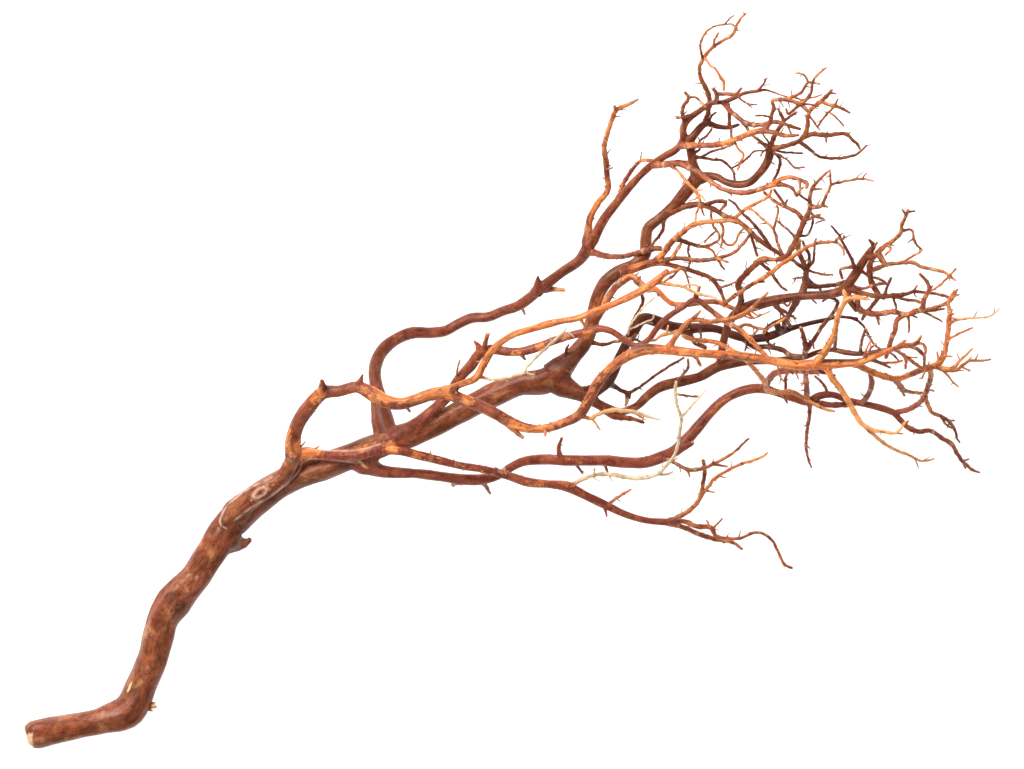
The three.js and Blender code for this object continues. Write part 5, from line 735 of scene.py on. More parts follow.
# Splinters and torn twig ends that stand off the wood, by pixel: from x, y to x, y, girth and lift.
SNAGS = [
    (186, 600, 192, 607, 2.8, 0.1), (363, 462, 368, 468, 2.2, 0.3), (360, 463, 361, 470, 2.6, 0.2),
    (383, 447, 384, 441, 1.7, 0.4), (129, 690, 127, 684, 1.7, 0.5), (431, 457, 430, 451, 1.7, 0.4),
    (500, 471, 494, 467, 1.8, 0.7), (502, 470, 507, 475, 1.8, 0.6), (513, 430, 524, 439, 2.2, 0.3),
    (145, 706, 156, 708, 5.2, 0.05), (145, 709, 152, 712, 3.4, 0.05), (147, 704, 155, 704, 2.4, 0.05),
    (441, 396, 446, 391, 1.6, 0.6), (300, 448, 306, 441, 1.7, 0.5), (312, 451, 320, 446, 2.0, 0.5),
    (426, 457, 430, 463, 1.7, 0.3),
]
# The lips of living bark that run up each side of the side stem, and round its foot, by pixel. Each is a
# ridge whose pale is partly the bark's own and partly a painted highlight along it.
LIPS = [
    [
        (226, 529), (221, 527), (219, 521), (223, 512), (231, 502), (243, 492), (252, 487), (263, 482),
        (272, 477),
    ],
    [
        (233, 522), (243, 514), (252, 507), (263, 501), (273, 495), (286, 485), (296, 475), (301, 467),
        (302, 461),
    ],
    [
        (303, 463), (310, 459), (322, 460), (335, 461), (348, 462), (357, 463),
    ],
    [
        (308, 449), (330, 451), (353, 451), (369, 448), (381, 444),
    ],
]
LIP_HALF_WIDTH_PX = 0.8
LIP_RISE_MM = 0.7
# A lip's pale fades in places: how strong it is on the whole, how much that varies, and its least.
LIP_STRENGTH = 0.75
LIP_BREAKS = 1.3
LIP_LEAST = 0.25
LIP_BREAKS_PER_PX = 0.16
# Outside a lip the stem drops away in a crease, this far out and this wide, darkened with painted shade.
CREASE_BELL = (1.9, 1.0)
CREASE_DEPTH_MM = 0.6
CREASE_SHADE = 0.8
CREASE_LIMBS = ("stem", "leader")

# A limb at least this thick on average, in px, is remeshed into the ones that it meets.
THICK_GIRTH_PX = 6.2
VOXEL = 0.0010
SMOOTH_SHARE = 0.5
SMOOTH_ROUNDS = 5
LIMB_TRIANGLES = 83000
LIMB_SIDES = 22
LIMB_STEP_GIRTHS = 0.2
LIMB_STEP_MIN_PX = 1.3
SAMPLES_PER_POINT = 12
SHORTEST_PX = 1e-4
# Twigs: sides for the thickest girth they suit, in px, and the step between rings in girths.
TWIG_SIDES = [(2.7, 5), (4.2, 6), (8.0, 8)]
TWIG_STEP_GIRTHS = 0.6
TWIG_STEP_MIN_PX = 1.85
# Twigs kink a little between their buds, and thicken at each bud.
KINK_PX = 0.6
KINK_LENGTH_PX = 5.5
KINK_EASE_PX = 6
BUD_SPACING_PX = (7, 15)
BUD_SWELL = 0.28
BUD_HALF_LENGTH_PX = 1.3
# No bud or spur grows on a twig's last stretch.
TIP_CLEAR_PX = 2
# A limb swells where it leaves its parent's surface, over a stretch of a few of its girths.
COLLAR_SWELL = 0.55
COLLAR_GIRTHS = 1.5
COLLAR_PARENT_SHARE = 0.9
COLLAR_START = 0.8
# Growth is never even: girths vary by this share, over lengths of a few girths.
GIRTH_WOBBLE = 0.07
WOBBLE_GIRTHS = 1.6
WOBBLE_MIN_GIRTH_PX = 3
END_SHRINK = 0.6
END_NOSE = 0.5
# The sawn end's edge is worn round.
SAWN_ROUND_PX = 11.0
SAWN_ROUND_SHARE = 0.6
# The cut face is left of one pixel column. Bark that is torn over its upper edge ends at a ragged line.
SAWN_END_PX = 32.0
SAWN_TORN_PX = 734.5
SAWN_RAGGED_PX = 4
SAWN_RAGGED_PER_PX = 0.3
SAWN_FACING = -0.3

# How far apart the noise of two limbs is read, so that no two are alike.
KINK_STRIDE = 5.7
WOBBLE_STRIDE = 7.3
AXIS_STRIDE = 9.1
GRAIN_STRIDE_MM = 3.7

LOOK_NAMES = ("ochre", "shade", "pale", "bands", "bare", "lip", "tone", "known")
SEED = 5


def spread(values, t):
    """The values at shares t, from 0 to 1, of a list that is spread evenly over a limb."""
    places = np.asarray(t) * (len(values) - 1)
    return np.interp(places, range(len(values)), values)


def bell(x, middle, width):
    """A smooth bump that is 1 at its middle and fades to each side."""
    return np.exp(-(((x - middle) / width) ** 2))


def unit(vector):
    return vector / np.linalg.norm(vector)


def curve_through(points):
    """A smooth centripetal curve through points, and each sample's share of the way along them."""
    ends = [2 * points[0] - points[1], *points, 2 * points[-1] - points[-2]]
    local = np.linspace(0, 1, SAMPLES_PER_POINT, endpoint=False)[:, None]
    stretches = []
    for p0, p1, p2, p3 in zip(ends, ends[1:], ends[2:], ends[3:]):
        pairs = ((p0, p1), (p1, p2), (p2, p3))
        d0, d1, d2 = (max(math.sqrt(np.linalg.norm(b - a)), SHORTEST_PX) for a, b in pairs)
        m1 = ((p1 - p0) / d0 - (p2 - p0) / (d0 + d1) + (p2 - p1) / d1) * d1
        m2 = ((p2 - p1) / d1 - (p3 - p1) / (d1 + d2) + (p3 - p2) / d2) * d1
        square, cube = local**2, local**3
        stretches.append(
            (2 * cube - 3 * square + 1) * p1 + (cube - 2 * square + local) * m1
            + (3 * square - 2 * cube) * p2 + (cube - square) * m2
        )
    line = np.vstack([*stretches, points[-1:]])
    return line, np.linspace(0, 1, len(line))


def noise_at(points, seed=0.0):
    """Smooth noise from -1 to 1 at each row of points."""
    return np.array([noise.noise(Vector((p[0] + seed, p[1], p[2]))) for p in points])


def runs_of(line):
    """How far along a line each of its points is."""
    return np.concatenate([[0], np.cumsum(np.linalg.norm(np.diff(line, axis=0), axis=1))])


class Limb:
    """A limb's middle line in px, with its girth, its run from the root and a frame at each sample."""

    def __init__(self, name, parent, girths, heights, path, index):
        self.name, self.index = name, index
        xy = np.array(path, float).reshape(-1, 2)
        points = np.column_stack([xy[:, 0] - ORIGIN_PX[0], ORIGIN_PX[1] - xy[:, 1], np.zeros(len(xy))])
        lifts = list(heights)
        self.buried = 0.0
        self.start_run = 0.0
        limit = np.inf
        if parent:
            near = np.argmin(np.hypot(*(parent.line[:, :2] - points[0, :2]).T))
            points[0, :2] = parent.line[near, :2]
            lifts.insert(0, parent.line[near, 2])
            limit = parent.girth[near] * COLLAR_PARENT_SHARE
            self.buried = parent.girth[near] / 2
            self.start_run = parent.run[near]
        points[:, 2] = spread(lifts, np.linspace(0, 1, len(points)))
        self.line, share = curve_through(points)
        is_twig = np.mean(girths) < THICK_GIRTH_PX
        if is_twig:
            self.kink()
        self.length_run = runs_of(self.line)
        self.run = self.start_run + self.length_run
        girth = spread(girths, share)
        self.mean_girth = girth.mean()
        if parent:
            past = np.maximum(self.length_run - self.buried * COLLAR_START, 0)
            collar = np.maximum(0, 1 - past / (COLLAR_GIRTHS * girths[0])) ** 2
            swollen = girth * (1 + COLLAR_SWELL * collar)
            girth = np.where(swollen > limit, np.maximum(girth, np.minimum(swollen, limit)), swollen)
        beat = self.length_run / (WOBBLE_GIRTHS * np.maximum(self.mean_girth, WOBBLE_MIN_GIRTH_PX))
        wobble = noise_at(np.column_stack([beat, beat * 0, beat * 0]), index * WOBBLE_STRIDE)
        self.girth = girth * (1 + GIRTH_WOBBLE * wobble)
        draw = random.Random(SEED + index)
        self.buds = []
        place = self.buried + draw.uniform(*BUD_SPACING_PX)
        while is_twig and place < self.length_run[-1] - TIP_CLEAR_PX:
            self.buds.append(place)
            self.girth *= 1 + BUD_SWELL * bell(self.length_run, place, BUD_HALF_LENGTH_PX)
            place += draw.uniform(*BUD_SPACING_PX)
        if not parent:
            rounded = np.clip(self.length_run / SAWN_ROUND_PX, 0, 1)
            self.girth *= SAWN_ROUND_SHARE + (1 - SAWN_ROUND_SHARE) * np.sqrt(1 - (1 - rounded) ** 2)
        self.looks = LOOKS.get(name) or parent.looks
        self.parent_looks = parent.looks if parent else self.looks
        self.frame()

    def kink(self):
        """Moves the middle line a little to and fro, less near the root."""
        run = runs_of(self.line)
        ease = np.minimum(run / KINK_EASE_PX, 1)[:, None]
        beat = run / KINK_LENGTH_PX
        for axis in (0, 1, 2):
            places = np.column_stack([beat, beat * 0 + axis * AXIS_STRIDE, beat * 0])
            sway = noise_at(places, self.index * KINK_STRIDE)
            self.line[:, axis : axis + 1] += sway[:, None] * ease * KINK_PX

    def frame(self):
        """A direction along, across and sideways at each sample, without twist."""
        self.along = np.gradient(self.line, axis=0)
        self.along /= np.linalg.norm(self.along, axis=1)[:, None]
        across = np.array([0.0, 0.0, 1.0])
        rows = []
        for along in self.along:
            across = unit(across - along * across.dot(along))
            rows.append(across)
        self.across = np.array(rows)
        self.sideways = np.cross(self.along, self.across)

    def resampled(self, step_px):
        """Sample numbers, as fractions, at even steps along the limb."""
        count = max(2, round(self.length_run[-1] / step_px))
        runs = np.linspace(0, self.length_run[-1], count + 1)
        return np.interp(runs, self.length_run, range(len(self.line)))

    def sample_at(self, run):
        """The number of the first sample that is at least this far along the limb."""
        return int(np.searchsorted(self.length_run, run))

    def outward(self, i, turn):
        """The direction out of the wood at sample i, turned round the limb by an angle."""
        return self.sideways[i] * math.cos(turn) + self.across[i] * math.sin(turn)


def grow_limbs():
    """Every limb of the table, each from the parent that it names."""
    named = {"": None}
    limbs = []
    for index, (name, parent, girths, heights, path) in enumerate(LIMBS):
        limb = Limb(name, named[parent], girths, heights, path, index)
        limbs.append(limb)
        if name:
            named[name] = limb
    return limbs


def values_at(values, places):
    """Rows of values at fractional sample numbers."""
    return np.column_stack([np.interp(places, range(len(values)), column) for column in values.T])


def limb_rings(limb, sides, step_px):
    """A limb as rings of points round its middle, in metres, with the grain at each, and how many rings."""
    places = limb.resampled(step_px)
    middle, across, sideways, along = (
        values_at(rows, places) for rows in (limb.line, limb.across, limb.sideways, limb.along)
    )
    radius = np.interp(places, range(len(limb.girth)), limb.girth) / 2
    run = np.interp(places, range(len(limb.run)), limb.run)
    # The far end closes in a short blunt nose.
    middle = np.vstack([middle, middle[-1] + along[-1] * radius[-1] * END_NOSE])
    radius = np.append(radius, radius[-1] * END_SHRINK)
    run = np.append(run, run[-1] + radius[-1])
    across, sideways = (np.vstack([rows, rows[-1]]) for rows in (across, sideways))
    angle = np.linspace(0, 2 * np.pi, sides, endpoint=False) + limb.index
    x = np.cos(angle)[None, :] * radius[:, None]
    y = np.sin(angle)[None, :] * radius[:, None]
    points = middle[:, None] + x[..., None] * across[:, None] + y[..., None] * sideways[:, None]
    grain = np.stack([np.repeat(run[:, None], sides, 1), x, y], axis=-1) * MM_PER_PX
    grain[..., 1:] += limb.index * GRAIN_STRIDE_MM
    return points.reshape(-1, 3) * M_PER_PX, grain.reshape(-1, 3), len(middle)


def ring_faces(rings, sides, first=0):
    """The faces between rings of points that follow each other, and the two end caps."""
    faces = []
    for ring in range(rings - 1):
        for side in range(sides):
            a = first + ring * sides + side
            b = first + ring * sides + (side + 1) % sides
            faces.append((a, b, b + sides, a + sides))
    faces.append(tuple(first + side for side in reversed(range(sides))))
    faces.append(tuple(first + (rings - 1) * sides + side for side in range(sides)))
    return faces


def mesh_object(name, points, faces, collection=None):
    """A new object in the scene, or in a collection of it."""
    mesh = bpy.data.meshes.new(name)
    mesh.from_pydata([tuple(p) for p in points], [], faces)
    mesh.update()
    piece = bpy.data.objects.new(name, mesh)
    (collection or bpy.context.scene.collection).objects.link(piece)
    return piece


def apply_modifiers(piece):
    """Replaces a piece's mesh by what its modifiers make of it."""
    evaluated = piece.evaluated_get(bpy.context.evaluated_depsgraph_get())
    mesh = bpy.data.meshes.new_from_object(evaluated)
    piece.modifiers.clear()
    old = piece.data
    piece.data = mesh
    bpy.data.meshes.remove(old)


def vertex_table(mesh, what):
    """A mesh's points or normals as rows."""
    table = np.zeros(len(mesh.vertices) * 3, np.float32)
    mesh.vertices.foreach_get(what, table)
    return table.reshape(-1, 3)


def edge_table(mesh):
    """The numbers of the first and the second vertex of every edge."""
    edges = np.zeros(len(mesh.edges) * 2, np.int32)
    mesh.edges.foreach_get("vertices", edges)
    return edges.reshape(-1, 2).T


def write_attribute(mesh, name, values):
    """Keeps a value, or a row of three, with each vertex."""
    kind, key = ("FLOAT_VECTOR", "vector") if values.ndim == 2 else ("FLOAT", "value")
    attribute = mesh.attributes.get(name) or mesh.attributes.new(name, kind, "POINT")
    attribute.data.foreach_set(key, values.astype(np.float32).ravel())


def write_looks(mesh, values, grain):
    """Writes every look, with a 1 for known, and the grain to a mesh's vertices."""
    for name, value in zip(LOOK_NAMES, (*values, 1.0)):
        write_attribute(mesh, name, np.zeros(len(grain)) + value)
    write_attribute(mesh, "grain", grain)


def read_attribute(mesh, name):
    attribute = mesh.attributes[name]
    wide = attribute.data_type == "FLOAT_VECTOR"
    table = np.zeros(len(mesh.vertices) * (3 if wide else 1), np.float32)
    attribute.data.foreach_get("vector" if wide else "value", table)
    return table.reshape(-1, 3) if wide else table


# The map of the thick limbs has a place at each of these steps, from where the limb leaves its parent.
MAP_STEP_GIRTHS = 0.22
MAP_STEP_MIN_PX = 1.0
MAP_START = 0.7
MAP_CANDIDATES = 9


class LimbMap:
    """Finds, for points on the thick limbs, the limb that each belongs to and where on it it lies."""

    def __init__(self, limbs):
        rows = []
        for limb in limbs:
            for place in limb.resampled(max(MAP_STEP_MIN_PX, limb.mean_girth * MAP_STEP_GIRTHS)):
                i = int(round(place))
                if limb.length_run[i] >= limb.buried * MAP_START:
                    rows.append((limb, i))
        self.middle = np.array([limb.line[i] for limb, i in rows])
        self.radius = np.array([limb.girth[i] / 2 for limb, i in rows])
        self.run = np.array([limb.run[i] for limb, i in rows])
        self.along = np.array([limb.along[i] for limb, i in rows])
        self.across = np.array([limb.across[i] for limb, i in rows])
        self.sideways = np.array([limb.sideways[i] for limb, i in rows])
        self.index = np.array([limb.index for limb, _ in rows])
        self.looks = np.array([limb.looks for limb, _ in rows])
        self.creased = np.array([limb.name in CREASE_LIMBS for limb, _ in rows])
        self.tree = KDTree(len(rows))
        for i, p in enumerate(self.middle):
            self.tree.insert(p, i)
        self.tree.balance()

    def find(self, points_px):
        """The nearest place on the map for each point, and the grain there."""
        nearest = np.zeros(len(points_px), int)
        for n, p in enumerate(points_px):
            found = self.tree.find_n(p, MAP_CANDIDATES)
            nearest[n] = min(found, key=lambda f: f[2] - self.radius[f[1]])[1]
        offset = points_px - self.middle[nearest]
        run = self.run[nearest] + (offset * self.along[nearest]).sum(1)
        x = (offset * self.across[nearest]).sum(1)
        y = (offset * self.sideways[nearest]).sum(1)
        grain = np.column_stack([run, x, y]) * MM_PER_PX
        grain[:, 1:] += self.index[nearest][:, None] * GRAIN_STRIDE_MM
        return nearest, grain


def photo_xy(points):
    """Where points of the scene, in metres, lie in the photograph."""
    return np.column_stack([points[:, 0] / M_PER_PX + ORIGIN_PX[0], ORIGIN_PX[1] - points[:, 1] / M_PER_PX])


def lip_distance(points):
    """How far each point is from the nearest lip of living bark, in px, as seen from above."""
    xy = photo_xy(points)
    least = np.full(len(xy), np.inf)
    for lip in LIPS:
        for a, b in zip(np.array(lip[:-1], float), np.array(lip[1:], float)):
            t = np.clip(((xy - a) @ (b - a)) / ((b - a) @ (b - a)), 0, 1)
            least = np.minimum(least, np.linalg.norm(xy - (a + t[:, None] * (b - a)), axis=1))
    return least


# An oval's outline wanders by this share, over lengths of a few px.
OVAL_RAGGED = 0.35
OVAL_RAGGED_PER_PX = 0.35
# Further than this many reaches from an oval's middle, nothing of it shows.
OVAL_REACHES = 3


def oval(points, nearest, limb_map, x, y, reach_along, reach_across):
    """The points near a pixel, and how far out each is, where 1 is the rim of an oval along its limb."""
    away = photo_xy(points) - (x, y)
    close = np.abs(away).max(1) < OVAL_REACHES * max(reach_along, reach_across)
    away = away[close]
    direction = limb_map.along[nearest[close]][:, :2] * (1, -1)
    direction /= np.maximum(np.linalg.norm(direction, axis=1)[:, None], 1e-6)
    u = (away * direction).sum(1) / reach_along
    v = (away[:, 0] * direction[:, 1] - away[:, 1] * direction[:, 0]) / reach_across
    ragged = 1 + OVAL_RAGGED * noise_at(points[close] / M_PER_PX * OVAL_RAGGED_PER_PX, x)
    return close, np.hypot(u, v) * ragged


def crease(away, nearest, limb_map):
    """How deep in the crease beside a lip each point is, from 0 to 1."""
    return bell(away, *CREASE_BELL) * limb_map.creased[nearest]


# Ribs and lumps: how often they come to the mm, along and across the grain, where their noise is
# read, and how far they rise as a share of the limb's girth.
ROUGH_RELIEF = [((0.014, 0.11, 0.11), 3.0, 0.065), ((0.05, 0.09, 0.09), 11.0, 0.035)]
# Fine relief is the same height on every limb of this girth and more, and fades on thinner ones.
FINE_RELIEF = (0.16, 0.5, 0.5)
FINE_SEED = 17.0
FINE_RISE_MM = 0.12
FINE_GIRTH_MM = 10
# A scar has a heart, a rim and a moat: where each is, with 1 at the oval's rim, and how wide.
SCAR_HEART = (0.0, 0.75)
SCAR_RIM = (1.0, 0.3)
SCAR_MOAT = (1.5, 0.4)
SCAR_RIM_MM = 0.25
SCAR_PALE_RIM_MM = 0.3
SCAR_MOAT_MM = 0.3
CHIP_REACH = 1.5
CHIP_DEPTH_MM = 0.4


def relief(points, normals, limb_map):
    """Moves points of the thick limbs out and in: long ribs, lumps, scars, chips and bark lips."""
    nearest, grain = limb_map.find(points / M_PER_PX)
    girth_mm = limb_map.radius[nearest] * 2 * MM_PER_PX
    rise = girth_mm * sum(share * noise_at(grain * often, seed) for often, seed, share in ROUGH_RELIEF)
    rise += FINE_RISE_MM * noise_at(grain * FINE_RELIEF, FINE_SEED) * np.minimum(girth_mm / FINE_GIRTH_MM, 1)
    top = np.clip(normals[:, 2] * 2, 0, 1)
    for *place, middle, rim, _ in SCARS:
        close, r = oval(points, nearest, limb_map, *place)
        lump = bell(r, *SCAR_HEART) * middle + bell(r, *SCAR_RIM) * (SCAR_RIM_MM + SCAR_PALE_RIM_MM * rim)
        rise[close] += top[close] * (lump - SCAR_MOAT_MM * bell(r, *SCAR_MOAT))
    for place in CHIPS:
        close, r = oval(points, nearest, limb_map, *place)
        rise[close] -= CHIP_DEPTH_MM * np.clip(CHIP_REACH - r, 0, 1) * top[close]
    away = lip_distance(points)
    rise += LIP_RISE_MM * bell(away, 0, LIP_HALF_WIDTH_PX) * top
    rise -= CREASE_DEPTH_MM * crease(away, nearest, limb_map) * top
    return points + normals * rise[:, None] / 1000


# Where a scar's rim is pale, partly a painted highlight, and where its hollow and the line round it are
# dark: the hollow partly with painted shade, the line with painted shade in the scar's moat.
PALE_RIM = (0.95, 0.25)
DARK_HEART = (0.0, 0.6)
MOAT_SHADE_BELL = (1.45, 0.3)
MOAT_SHADE_STRENGTH = 0.5
# A chip is bare wood out to here, with an edge this sharp.
BARE_REACH = 1.25
BARE_EDGE = 4
LOOK_MOST = 1.3
LIP_SEED = 31.0
SAWN_SEED = 47.0


def limb_looks(points, normals, limb_map):
    """What each point of the thick limbs knows of its limb, for the material, and its grain."""
    nearest, grain = limb_map.find(points / M_PER_PX)
    looks = limb_map.looks[nearest].copy()
    top = np.clip(normals[:, 2] * 3, 0, 1)
    bare = np.zeros(len(points))
    tone = np.zeros(len(points))
    away = lip_distance(points)
    breaks = noise_at(points / M_PER_PX * LIP_BREAKS_PER_PX, LIP_SEED)
    broken = np.clip(LIP_STRENGTH + LIP_BREAKS * breaks, LIP_LEAST, 1)
    # The pale along each lip is partly the bark's own and partly a painted highlight on its ridge.
    lip = bell(away, 0, LIP_HALF_WIDTH_PX) * top * broken
    # Painted shade darkens the crease beside each lip.
    looks[:, 1] = np.maximum(looks[:, 1], CREASE_SHADE * crease(away, nearest, limb_map) * top)
    for *place, _, rim, dark in SCARS:
        close, r = oval(points, nearest, limb_map, *place)
        # A scar's pale rim is partly its own cream and partly a painted highlight; its dark middle is partly
        # its own colour and partly painted shade, and a line of painted shade rings its moat.
        lip[close] = np.maximum(lip[close], bell(r, *PALE_RIM) * top[close] * rim)
        hollow = np.maximum(bell(r, *DARK_HEART) * dark, bell(r, *MOAT_SHADE_BELL) * MOAT_SHADE_STRENGTH)
        looks[close, 1] = np.maximum(looks[close, 1], hollow * top[close])
    for place in CHIPS:
        close, r = oval(points, nearest, limb_map, *place)
        bare[close] = np.maximum(bare[close], np.clip((BARE_REACH - r) * BARE_EDGE, 0, 1) * top[close])
    # Soft places: lighter or darker on the upper side, partly the bark's own blotches and partly painted
    # highlights, and more or less peeled.
    for *place, lighter, peeled in CLOUDS_AND_HIGHLIGHTS:
        close, r = oval(points, nearest, limb_map, *place)
        tone[close] += bell(r, 0, 1) * lighter * top[close]
        looks[close, 0] += np.exp(-(r**4)) * peeled
    looks = np.clip(looks, 0, LOOK_MOST)
    for *place, worn in WORN:
        close, r = oval(points, nearest, limb_map, *place)
        looks[close, 2] += np.exp(-(r**4)) * worn * top[close]
    # The sawn end is raw wood, ragged where the bark has torn over its upper edge.
    x, y = photo_xy(points).T
    torn = SAWN_RAGGED_PX * noise_at(points / M_PER_PX * SAWN_RAGGED_PER_PX, SAWN_SEED)
    bare[(x < SAWN_END_PX) & (y + torn > SAWN_TORN_PX) & (normals[:, 0] < SAWN_FACING)] = 1
    return (*looks.T, bare, lip, tone), grain


def thick_wood(limbs, limb_map):
    """The stem and the thick limbs, grown into each other as one closed mesh."""
    points, faces, count = [], [], 0
    for limb in limbs:
        step = max(LIMB_STEP_MIN_PX, limb.mean_girth * LIMB_STEP_GIRTHS)
        rings, _, number = limb_rings(limb, LIMB_SIDES, step)
        points.append(rings)
        faces += ring_faces(number, LIMB_SIDES, count)
        count += len(rings)
    wood = mesh_object("driftwood_wood", np.vstack(points), faces)
    remesh = wood.modifiers.new("remesh", "REMESH")
    remesh.mode = "VOXEL"
    remesh.voxel_size = VOXEL
    smooth = wood.modifiers.new("smooth", "SMOOTH")
    smooth.factor = SMOOTH_SHARE
    smooth.iterations = SMOOTH_ROUNDS
    apply_modifiers(wood)
    mesh = wood.data
    moved = relief(vertex_table(mesh, "co"), vertex_table(mesh, "normal"), limb_map)
    mesh.vertices.foreach_set("co", moved.astype(np.float32).ravel())
    mesh.update()
    thin = wood.modifiers.new("thin", "DECIMATE")
    triangles = sum(len(face.vertices) - 2 for face in mesh.polygons)
    thin.ratio = min(1.0, LIMB_TRIANGLES / triangles)
    apply_modifiers(wood)
    mesh = wood.data
    write_looks(mesh, *limb_looks(vertex_table(mesh, "co"), vertex_table(mesh, "normal"), limb_map))
    return wood


# At its root a twig still has its parent's look, and takes on its own over this stretch.
ROOT_BLEND_PX = 9.0
# How far a twig's look strays from its limb's, and how it changes on the way to its tip.
OCHRE_STRAY = (-0.3, 0.15)
OCHRE_AT_TIP = 0.2
SHADE_STRAY = (-0.1, 0.1)
SHADE_LOST_AT_TIP = 0.45
PALE_AT_TIP = (0.0, 0.32)
PALE_MOST = 1.1
TWIG_TONE = (-0.05, 0.6)
TIP_BARE = 0.8
# Of the buds, the first share is bare wood, and those from the second share on are dark.
BARE_BUDS = 0.22
BUD_BARE = 0.6
DARK_BUDS = 0.6
BUD_DARK = 0.35


def twig(limb, collection):
    """One twig as a closed tube with a flared root, buds and a blunt tip of bare wood."""
    sides = next((n for girth, n in TWIG_SIDES if limb.mean_girth <= girth), TWIG_SIDES[-1][1])
    step = max(TWIG_STEP_MIN_PX, limb.mean_girth * TWIG_STEP_GIRTHS)
    points, grain, rings = limb_rings(limb, sides, step)
    piece = mesh_object(f"twig_{limb.index}", points, ring_faces(rings, sides), collection)
    run = grain[:, 0] / MM_PER_PX - limb.start_run
    own = np.clip((run - limb.buried) / ROOT_BLEND_PX, 0, 1)[:, None]
    ochre, shade, pale, bands = (np.array(limb.looks) * own + np.array(limb.parent_looks) * (1 - own)).T
    toward_tip = np.repeat(np.linspace(0, 1, rings), sides)
    draw = random.Random(SEED + limb.index)
    ochre = np.clip(ochre + OCHRE_AT_TIP * toward_tip + draw.uniform(*OCHRE_STRAY), 0, 1)
    shade = np.clip(shade * (1 - SHADE_LOST_AT_TIP * toward_tip) + draw.uniform(*SHADE_STRAY), 0, 1)
    pale = np.clip(pale + draw.uniform(*PALE_AT_TIP) * toward_tip, 0, PALE_MOST)
    tone = np.full(len(points), draw.uniform(*TWIG_TONE))
    bare = np.where(np.arange(len(points)) >= (rings - 1) * sides, TIP_BARE, 0.0)
    for bud in limb.buds:
        close = bell(run, bud, BUD_HALF_LENGTH_PX)
        luck = draw.random()
        bare = np.maximum(bare, close * BUD_BARE * (luck < BARE_BUDS))
        tone -= close * BUD_DARK * (luck > DARK_BUDS)
    write_looks(piece.data, (ochre, shade, pale, bands, bare, 0.0, tone), grain)


STRIP_SIDES = 6
# The outer part of a spur or flake, from this share on, may be bare.
STRIP_BARE_FROM = 0.6


def strip(name, middle, wide, thick, half_widths, half_depths, looks, start_mm, collection,
          sides=STRIP_SIDES):
    """A small closed strip through middle points, for a spur or a flake of bark. Lengths are in px."""
    angle = np.linspace(0, 2 * np.pi, sides, endpoint=False)
    rings = [
        m + np.cos(angle)[:, None] * wide * half_w + np.sin(angle)[:, None] * thick * half_d
        for m, half_w, half_d in zip(middle, half_widths, half_depths)
    ]
    piece = mesh_object(name, np.vstack(rings) * M_PER_PX, ring_faces(len(middle), sides), collection)
    ochre, shade, pale, bare, tone = looks
    tips = np.repeat(np.linspace(0, 1, len(middle)), sides)
    run = start_mm + tips * np.linalg.norm(middle[-1] - middle[0]) * MM_PER_PX
    around = np.tile(angle, len(middle))
    grain = np.column_stack([run, np.cos(around), np.sin(around)])
    write_looks(piece.data, (ochre, shade, pale, 0.0, bare * (tips > STRIP_BARE_FROM), 0.0, tone), grain)


# Short dead spurs along the twigs, in px: one to each of these lengths, how long, and how thick.
SPUR_SPACING_PX = (9, 32)
SPUR_LENGTH_PX = (1.4, 8.0)
SPUR_GIRTH_PX = (0.9, 1.45)
# Twigs thinner than this have shorter spurs.
SPUR_FULL_GIRTH_PX = 2.6
# A spur leans towards the tip and bends a little. It starts inside the wood.
SPUR_LEAN = (0.2, 0.9)
SPUR_BEND = (-0.5, 0.8)
SPUR_BEND_SHARE = 0.4
SPUR_ROOT_GIRTHS = 0.15
SPUR_BURIED_GIRTHS = 0.35
SPUR_TAPER = (1.5, 1.0, 0.7)
SPUR_SIDES = 4
SPUR_SHADE = 0.8
SPUR_BARE = 0.8
SPUR_BARE_CHANCE = 0.5
SPUR_TONE = (-0.35, 0.15)
# A spur that would end lower than this over the ground has broken off.
SPUR_LOWEST_PX = 1
SPUR_SEEDS_APART = 1000


def spurs(limb, collection):
    """Short spurs along a twig, each a bud that grew for a season and died."""
    draw = random.Random(SEED * SPUR_SEEDS_APART + limb.index)
    place = limb.buried + draw.uniform(*SPUR_SPACING_PX)
    count = 0
    while place < limb.length_run[-1] - TIP_CLEAR_PX:
        i = limb.sample_at(place)
        along, girth = limb.along[i], limb.girth[i]
        out = limb.outward(i, draw.uniform(0, 2 * math.pi))
        length = draw.uniform(*SPUR_LENGTH_PX) * min(1, limb.mean_girth / SPUR_FULL_GIRTH_PX)
        heading = unit(out + along * draw.uniform(*SPUR_LEAN))
        bend = along * draw.uniform(*SPUR_BEND) * SPUR_BEND_SHARE
        root = limb.line[i] + out * girth * SPUR_ROOT_GIRTHS
        reach = girth * SPUR_BURIED_GIRTHS
        tip = root + (heading + bend) * (reach + length)
        middle = [root, root + heading * (reach + length / 2), tip]
        wide = unit(np.cross(heading, out + along * 0.1))
        half = draw.uniform(*SPUR_GIRTH_PX) / 2
        if tip[2] - half > SPUR_LOWEST_PX:
            bare = SPUR_BARE * (draw.random() < SPUR_BARE_CHANCE)
            ochre, shade, pale, _ = limb.looks
            looks = (ochre, shade * SPUR_SHADE, pale, bare, draw.uniform(*SPUR_TONE))
            halves = [half * taper for taper in SPUR_TAPER]
            strip(f"spur_{limb.index}_{count}", middle, wide, np.cross(heading, wide), halves, halves,
                  looks, limb.run[i] * MM_PER_PX, collection, SPUR_SIDES)
            count += 1
        place += draw.uniform(*SPUR_SPACING_PX)


# A snag's middle points, as shares of its length, and its half width at each, in girths.
SNAG_SHARES = (0.0, 0.5, 0.8, 1.0)
SNAG_TAPER = (0.62, 0.5, 0.4, 0.12)
SNAG_FLATNESS = 0.6
SNAG_RISE = 0.6
# A snag that lifts more than this stands on its limb, and others lie beside its middle.
SNAG_STANDS = 0.3
SNAG_LYING_SHARE = 0.2
